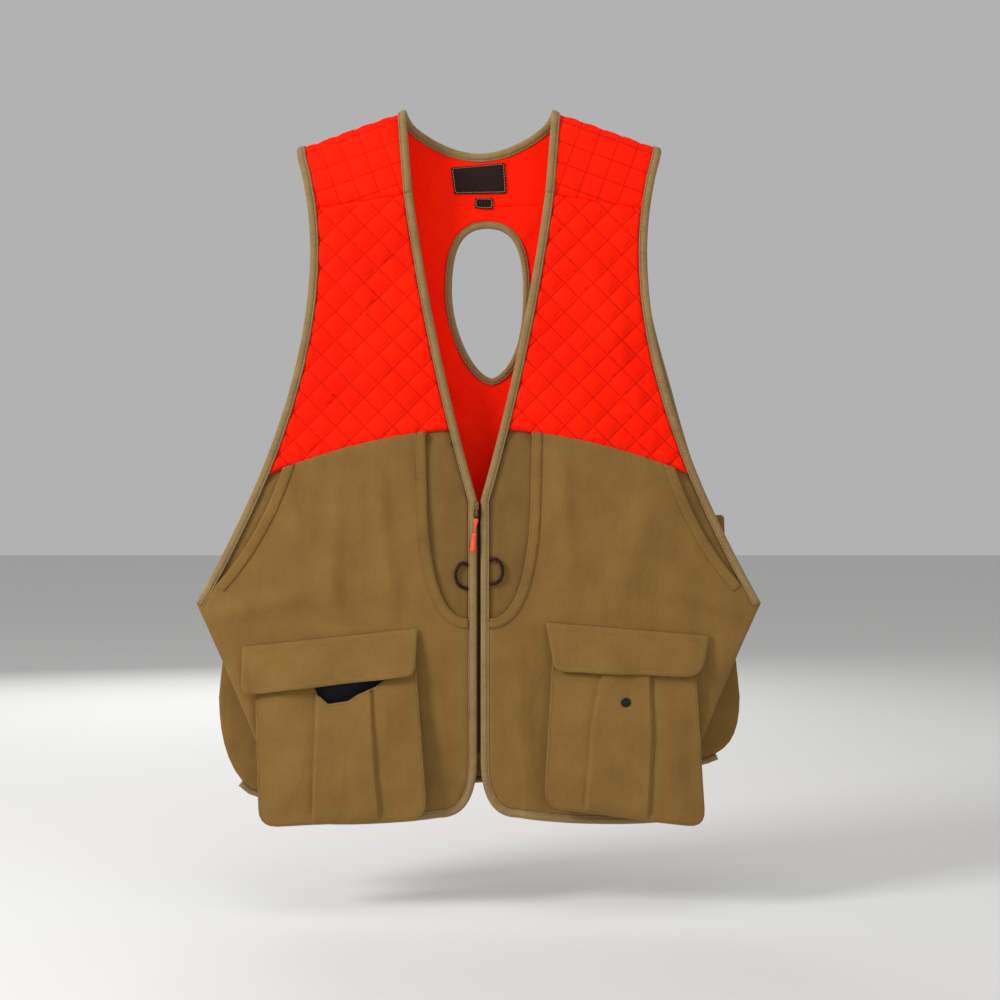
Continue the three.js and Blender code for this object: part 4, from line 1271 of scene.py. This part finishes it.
def bagHeights(loop):
    low, high = layers["bag"]

    def outer(points):
        off, run = nearest(points, *segmentsOf([loop], True))
        share = 1 - np.clip(off / bagForm["round"], 0, 1)
        full = (high - low - 4) * np.sqrt(1 - share**2)
        sag = bagForm["sag"] * smooth(-points[:, 1], 560, 740) * smooth(off, 10, 90)
        folds = bagForm["pleat"] * np.sin(run / 16) * np.exp(-off / 40) * smooth(off, 0, 20)
        wave = bagForm["wave"] * waviness(points * 0.55, 0.9) * smooth(off, 5, 40)
        return low + bagForm["thick"] + full + sag + folds + wave

    return outer


bagLoops = nodeLoops("game_bag_back")
bagOuter = bagHeights(bagLoops[0])
bag = clothPanel("gameBag", bagLoops, onBack, lambda p: bagOuter(p) - bagForm["thick"], bagOuter,
                 canvasSewn, step=7, rings=(0.6, 1.8, 3.6, 6.5, 10.5, 16), edge=0.9,
                 rows=[{"run": insetLoop(bagLoops[0], 22), "closed": True}])
dressed(bag, "canvas", "back", "game_bag_back", "game_bag_gusset")
hem = clothPanel("bagHemBinding", nodeLoops("game_bag_hem_binding"), onBack,
                 *(level(h) for h in layers["hem"]), bindingSewn, step=3.5,
                 rings=(0.8, 2.4), edge=4)
dressed(hem, "binding", "back", "game_bag_hem_binding")
tabLoops = nodeLoops("bag_corner_tab")
tabLow = lambda p: bagOuter(p) + 0.5
tab = clothPanel("bagCornerTab", tabLoops, onBack, tabLow, lambda p: tabLow(p) + 1.8,
                 canvasSewn, step=4, edge=1.4,
                 rows=[{"run": insetLoop(tabLoops[0], 3), "closed": True}])
dressed(tab, "canvas", "back", "bag_corner_tab")

gussetForm = {"foot": -667, "thick": 1.6, "bulge": 4.0, "frontAt": -16.5, "backAt": 24.6,
              "inset": 3, "turn": 5.5}


def sideGusset(side, sign):
    # the strip that closes the side below the armhole, front to back
    run = bend(g["underarm"], sidePull, g["waist"], 30)
    run = evenly(run[(run[:, 1] < g["underarm"][1] - 3) & (run[:, 1] > gussetForm["foot"])], 5)
    inward = leftOf(run)
    inward = inward * np.sign(inward[:, :1]) * -1
    shares = np.linspace(0, 1, 9)
    sections = []
    for thick, order in ((0, shares), (gussetForm["thick"], shares[::-1])):
        for share in order:
            bulge = gussetForm["bulge"] * math.sin(share * math.pi)
            spot = run + inward * (gussetForm["inset"] - bulge + thick)
            depth = gussetForm["frontAt"] + (gussetForm["backAt"] - gussetForm["frontAt"]) * share
            frontShift = softness(spot[:, 0], spot[:, 1], np.full(len(spot), -1.0)) * -(1 - share)
            sections.append(np.column_stack([spot[:, 0] * sign, depth + frontShift, spot[:, 1]]))
    points = np.stack(sections, 1).reshape(-1, 3)
    piece = meshOf(f"sideGusset_{side}", points, tube(len(run), len(sections)), [canvas])
    dressed(piece, "canvas", "back", f"side_gusset_{side}")


def underarmTurn(side, sign):
    # the armhole's binding carries on across the underarm, from the front to the back
    x, z = g["underarm"]
    reach = [face * (g["bodyHalf"] + gussetForm["turn"] + softness(np.array([x]), z, face)[0])
             for face in (-1.0, 1.0)]

    def acrossSide(points, height):
        share = np.clip((points[:, 0] - reach[0]) / (reach[1] - reach[0]), 0, 1)
        bow = gussetForm["bulge"] * np.sin(share * math.pi)
        return np.column_stack([
            sign * (x - gussetForm["turn"] + bow + height + points[:, 1] * 0.25), points[:, 0],
            z + 1.5 + points[:, 1]])

    run = np.array([(reach[0], 0.0), (reach[1], 0.0)])
    turn = edgeTape(f"underarmTurn_{side}", run, -1, acrossSide, bindingSewn,
                    heights=(-2.6, 2.6))
    dressed(turn, "binding", "back")


for side, sign in hands:
    sideGusset(side, sign)
    underarmTurn(side, sign)
print("back and bag made")

# Labels inside the neck.

labelCorners = {
    "neckLabel": ("neck_label", [(-34, -59), (31, -53), (33, -90), (-30, -91)], 1.6),
    "sizeTag": ("size_tag", [(-5, -96), (17, -96), (16, -109), (-5, -108)], 1.2),
}
for name, (node, corners, inset) in labelCorners.items():
    border = np.array(corners, float)
    low, high = layers["label"]
    label = clothPanel(name, [border], onBack, level(low), level(high), [labelCloth, paleThread],
                       step=5, rows=[{"run": insetLoop(border, inset), "closed": True,
                                      "height": level(low - 0.3)}])
    dressed(label, "label", "back", node)

# Zip.

zipForm = {"top": -463, "foot": -770, "pitch": 2.54, "tooth": (0.3, 1.9), "depth": (18.1, 21.4)}
# injection moulded acetal: dark brown, with a low satin shine on each tooth
mouldedAcetal, tree, shader = newMaterial("mouldedAcetalTeeth", Base_Color="#35210f",
                                          Roughness=0.4)
grain = addNode(tree, "TexNoise", {"Scale": 900.0, "Detail": 3.0})
wire(shader, Normal=addNode(tree, "Bump", {"Height": grain, "Strength": 0.2, "Distance": 0.0002}))


def zipSide(side, sign):
    tape = clothPanel(f"zipTape_{side}", nodeLoops(f"zip_tape_{side}"), onFront,
                      *(level(h) for h in layers["zipTape"]), [zipCloth, tanThreadAndCreaseShade], step=6)
    dressed(tape, "zip_tape", f"front_{side}", f"zip_tape_{side}")
    near, far = zipForm["tooth"]
    low, high = zipForm["depth"]
    tops = np.arange(zipForm["foot"] + 11, zipForm["top"], zipForm["pitch"])
    tooth = np.array([(near, low, -0.95), (far, low, -0.95), (far, low, 0.95), (near, low, 0.95),
                      (near, high - 0.4, -0.7), (far, high, -0.8), (far, high, 0.8),
                      (near, high - 0.4, 0.7)])
    points = np.vstack([tooth * (sign, -1, 1) + (0, 0, z) for z in tops])
    box = [(0, 1, 2, 3), (4, 7, 6, 5), (0, 4, 5, 1), (1, 5, 6, 2), (2, 6, 7, 3), (3, 7, 4, 0)]
    faces = [tuple(8 * n + k for k in face) for n in range(len(tops)) for face in box]
    teeth = meshOf(f"zipTeeth_{side}", points, faces, [mouldedAcetal])
    teeth.data.polygons.foreach_set("use_smooth", np.zeros(len(teeth.data.polygons), bool))
    soften = teeth.modifiers.new("worn corners", "BEVEL")
    soften.width, soften.segments = 0.25 * mm, 2
    dressed(teeth, "zip_moulding", f"front_{side}", f"zip_teeth_{side}")


for side, sign in hands:
    zipSide(side, sign)


def softRubber(name, dark, light):
    # moulded PVC grip: satin, with a faint mottle
    material, tree, shader = newMaterial(name, Roughness=0.5, Specular_IOR_Level=0.4)
    place = addNode(tree, "TexCoord").outputs["Object"]
    mottle = addNode(tree, "TexNoise", {"Vector": place, "Scale": 240.0, "Detail": 3.0})
    ramp = addNode(tree, "ValToRGB", {"Fac": mottle}, ((0.3, dark), (0.7, light)))
    bump = addNode(tree, "Bump", {"Height": mottle, "Strength": 0.25, "Distance": 0.0003})
    wire(shader, Base_Color=ramp, Normal=bump)
    return material


rubber = softRubber("orangePvcGrip", "#d8441f", "#f0562b")
pullForm = {"x": -2.75, "y": -32.0, "lean": 0.115, "top": -482.8}


def moulded(name, stations, material, sides=20):
    # an oval section swept down: each station is (drop, half width, half depth)
    turns = np.linspace(0, 2 * math.pi, sides, endpoint=False)
    points = []
    for drop, half, deep in stations:
        across = pullForm["x"] - pullForm["lean"] * drop
        oval = np.column_stack([half * np.cos(turns), deep * np.sin(turns), 0 * turns])
        points.append(oval + (across, pullForm["y"], pullForm["top"] - drop))
    return meshOf(name, np.vstack(points), tube(len(stations), sides), [material])


link = moulded("pullLink", [
    (0, 1.0, 0.8), (0.6, 2.2, 1.3), (2, 2.8, 1.5), (4, 2.7, 1.5), (6, 2.1, 1.4), (8, 1.4, 1.3),
    (12, 1.25, 1.2), (17, 1.3, 1.2)], rubber)
grip = moulded("pullGrip", [
    (17.2, 1.2, 1.0), (17.8, 2.4, 1.7), (19.5, 3.0, 2.2), (22, 2.3, 1.9), (24.5, 3.2, 2.2),
    (27, 2.5, 1.9), (29.5, 3.4, 2.2), (32, 2.7, 1.9), (35, 3.5, 2.2), (38, 3.5, 2.1),
    (39.6, 2.6, 1.6), (40.2, 1.0, 0.7)], rubber)
for piece, node in ((link, "pull_link"), (grip, "pull_grip")):
    dressed(piece, "orange_rubber", "zip_pull", node)
keptNodes = {  # CAD nodes that stay, with their edges rounded
    "zip_slider": (brass, "black_metal"),
    "pull_ring": (blackMetal, "black_metal"),
    "zip_box": (mouldedAcetal, "zip_moulding"),
    "zip_pin": (mouldedAcetal, "zip_moulding"),
}
for node, (material, slotName) in keptNodes.items():
    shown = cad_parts[node]
    shown.data.materials.clear()
    shown.data.materials.append(material)
    worn = shown.modifiers.new("rounded edges", "BEVEL")
    worn.width, worn.segments, worn.limit_method = 0.3 * mm, 2, "ANGLE"
print("zip and labels made")

# Floor and light.

stage = {"floor": -0.95, "half": 14.0, "tones": ((0, "#d9d9d8"), (1, "#e2e2e1")),
         "sky": "#f2f2f2", "skyPower": 0.5}
# painted floor: matt and even, with a slow change of tone
floorMaterial, tree, shader = newMaterial("paintedFloor", Roughness=0.8)
cloud = addNode(tree, "TexNoise", {"Scale": 2.0, "Detail": 3.0})
wire(shader, Base_Color=addNode(tree, "ValToRGB", {"Fac": cloud}, stage["tones"]))
half = stage["half"] / mm
corners = [(x, y, stage["floor"] / mm)
           for x, y in ((-half, -half), (half, -half), (half, half), (-half, half))]
floor = meshOf("floor", corners, [(0, 1, 2, 3)], [floorMaterial])
world = bpy.data.worlds.new("studio")
world.use_nodes = True
wire(world.node_tree.nodes["Background"], Color=stage["sky"], Strength=stage["skyPower"])
bpy.context.scene.world = world
bpy.context.scene.view_settings.view_transform = "Standard"
lights = {  # place, size and power of each soft box
    "keyBox": ((-2.2, -1.5, 0.9), 0.9, 66),
    "fillBox": ((1.6, -2.4, 0.0), 1.8, 14),
    "topBox": ((0.0, -0.9, 2.0), 1.6, 12),
    "backBox": ((-0.8, 2.6, 0.6), 1.8, 30),
}
for name, (spot, size, power) in lights.items():
    lamp = bpy.data.lights.new(name, "AREA")
    lamp.size, lamp.energy = size, power
    holder = bpy.data.objects.new(name, lamp)
    holder.location = spot
    aim = Vector((0, 0, -0.45)) - Vector(spot)
    holder.rotation_euler = aim.to_track_quat("-Z", "Y").to_euler()
    bpy.context.scene.collection.objects.link(holder)

bpy.context.view_layer.update()
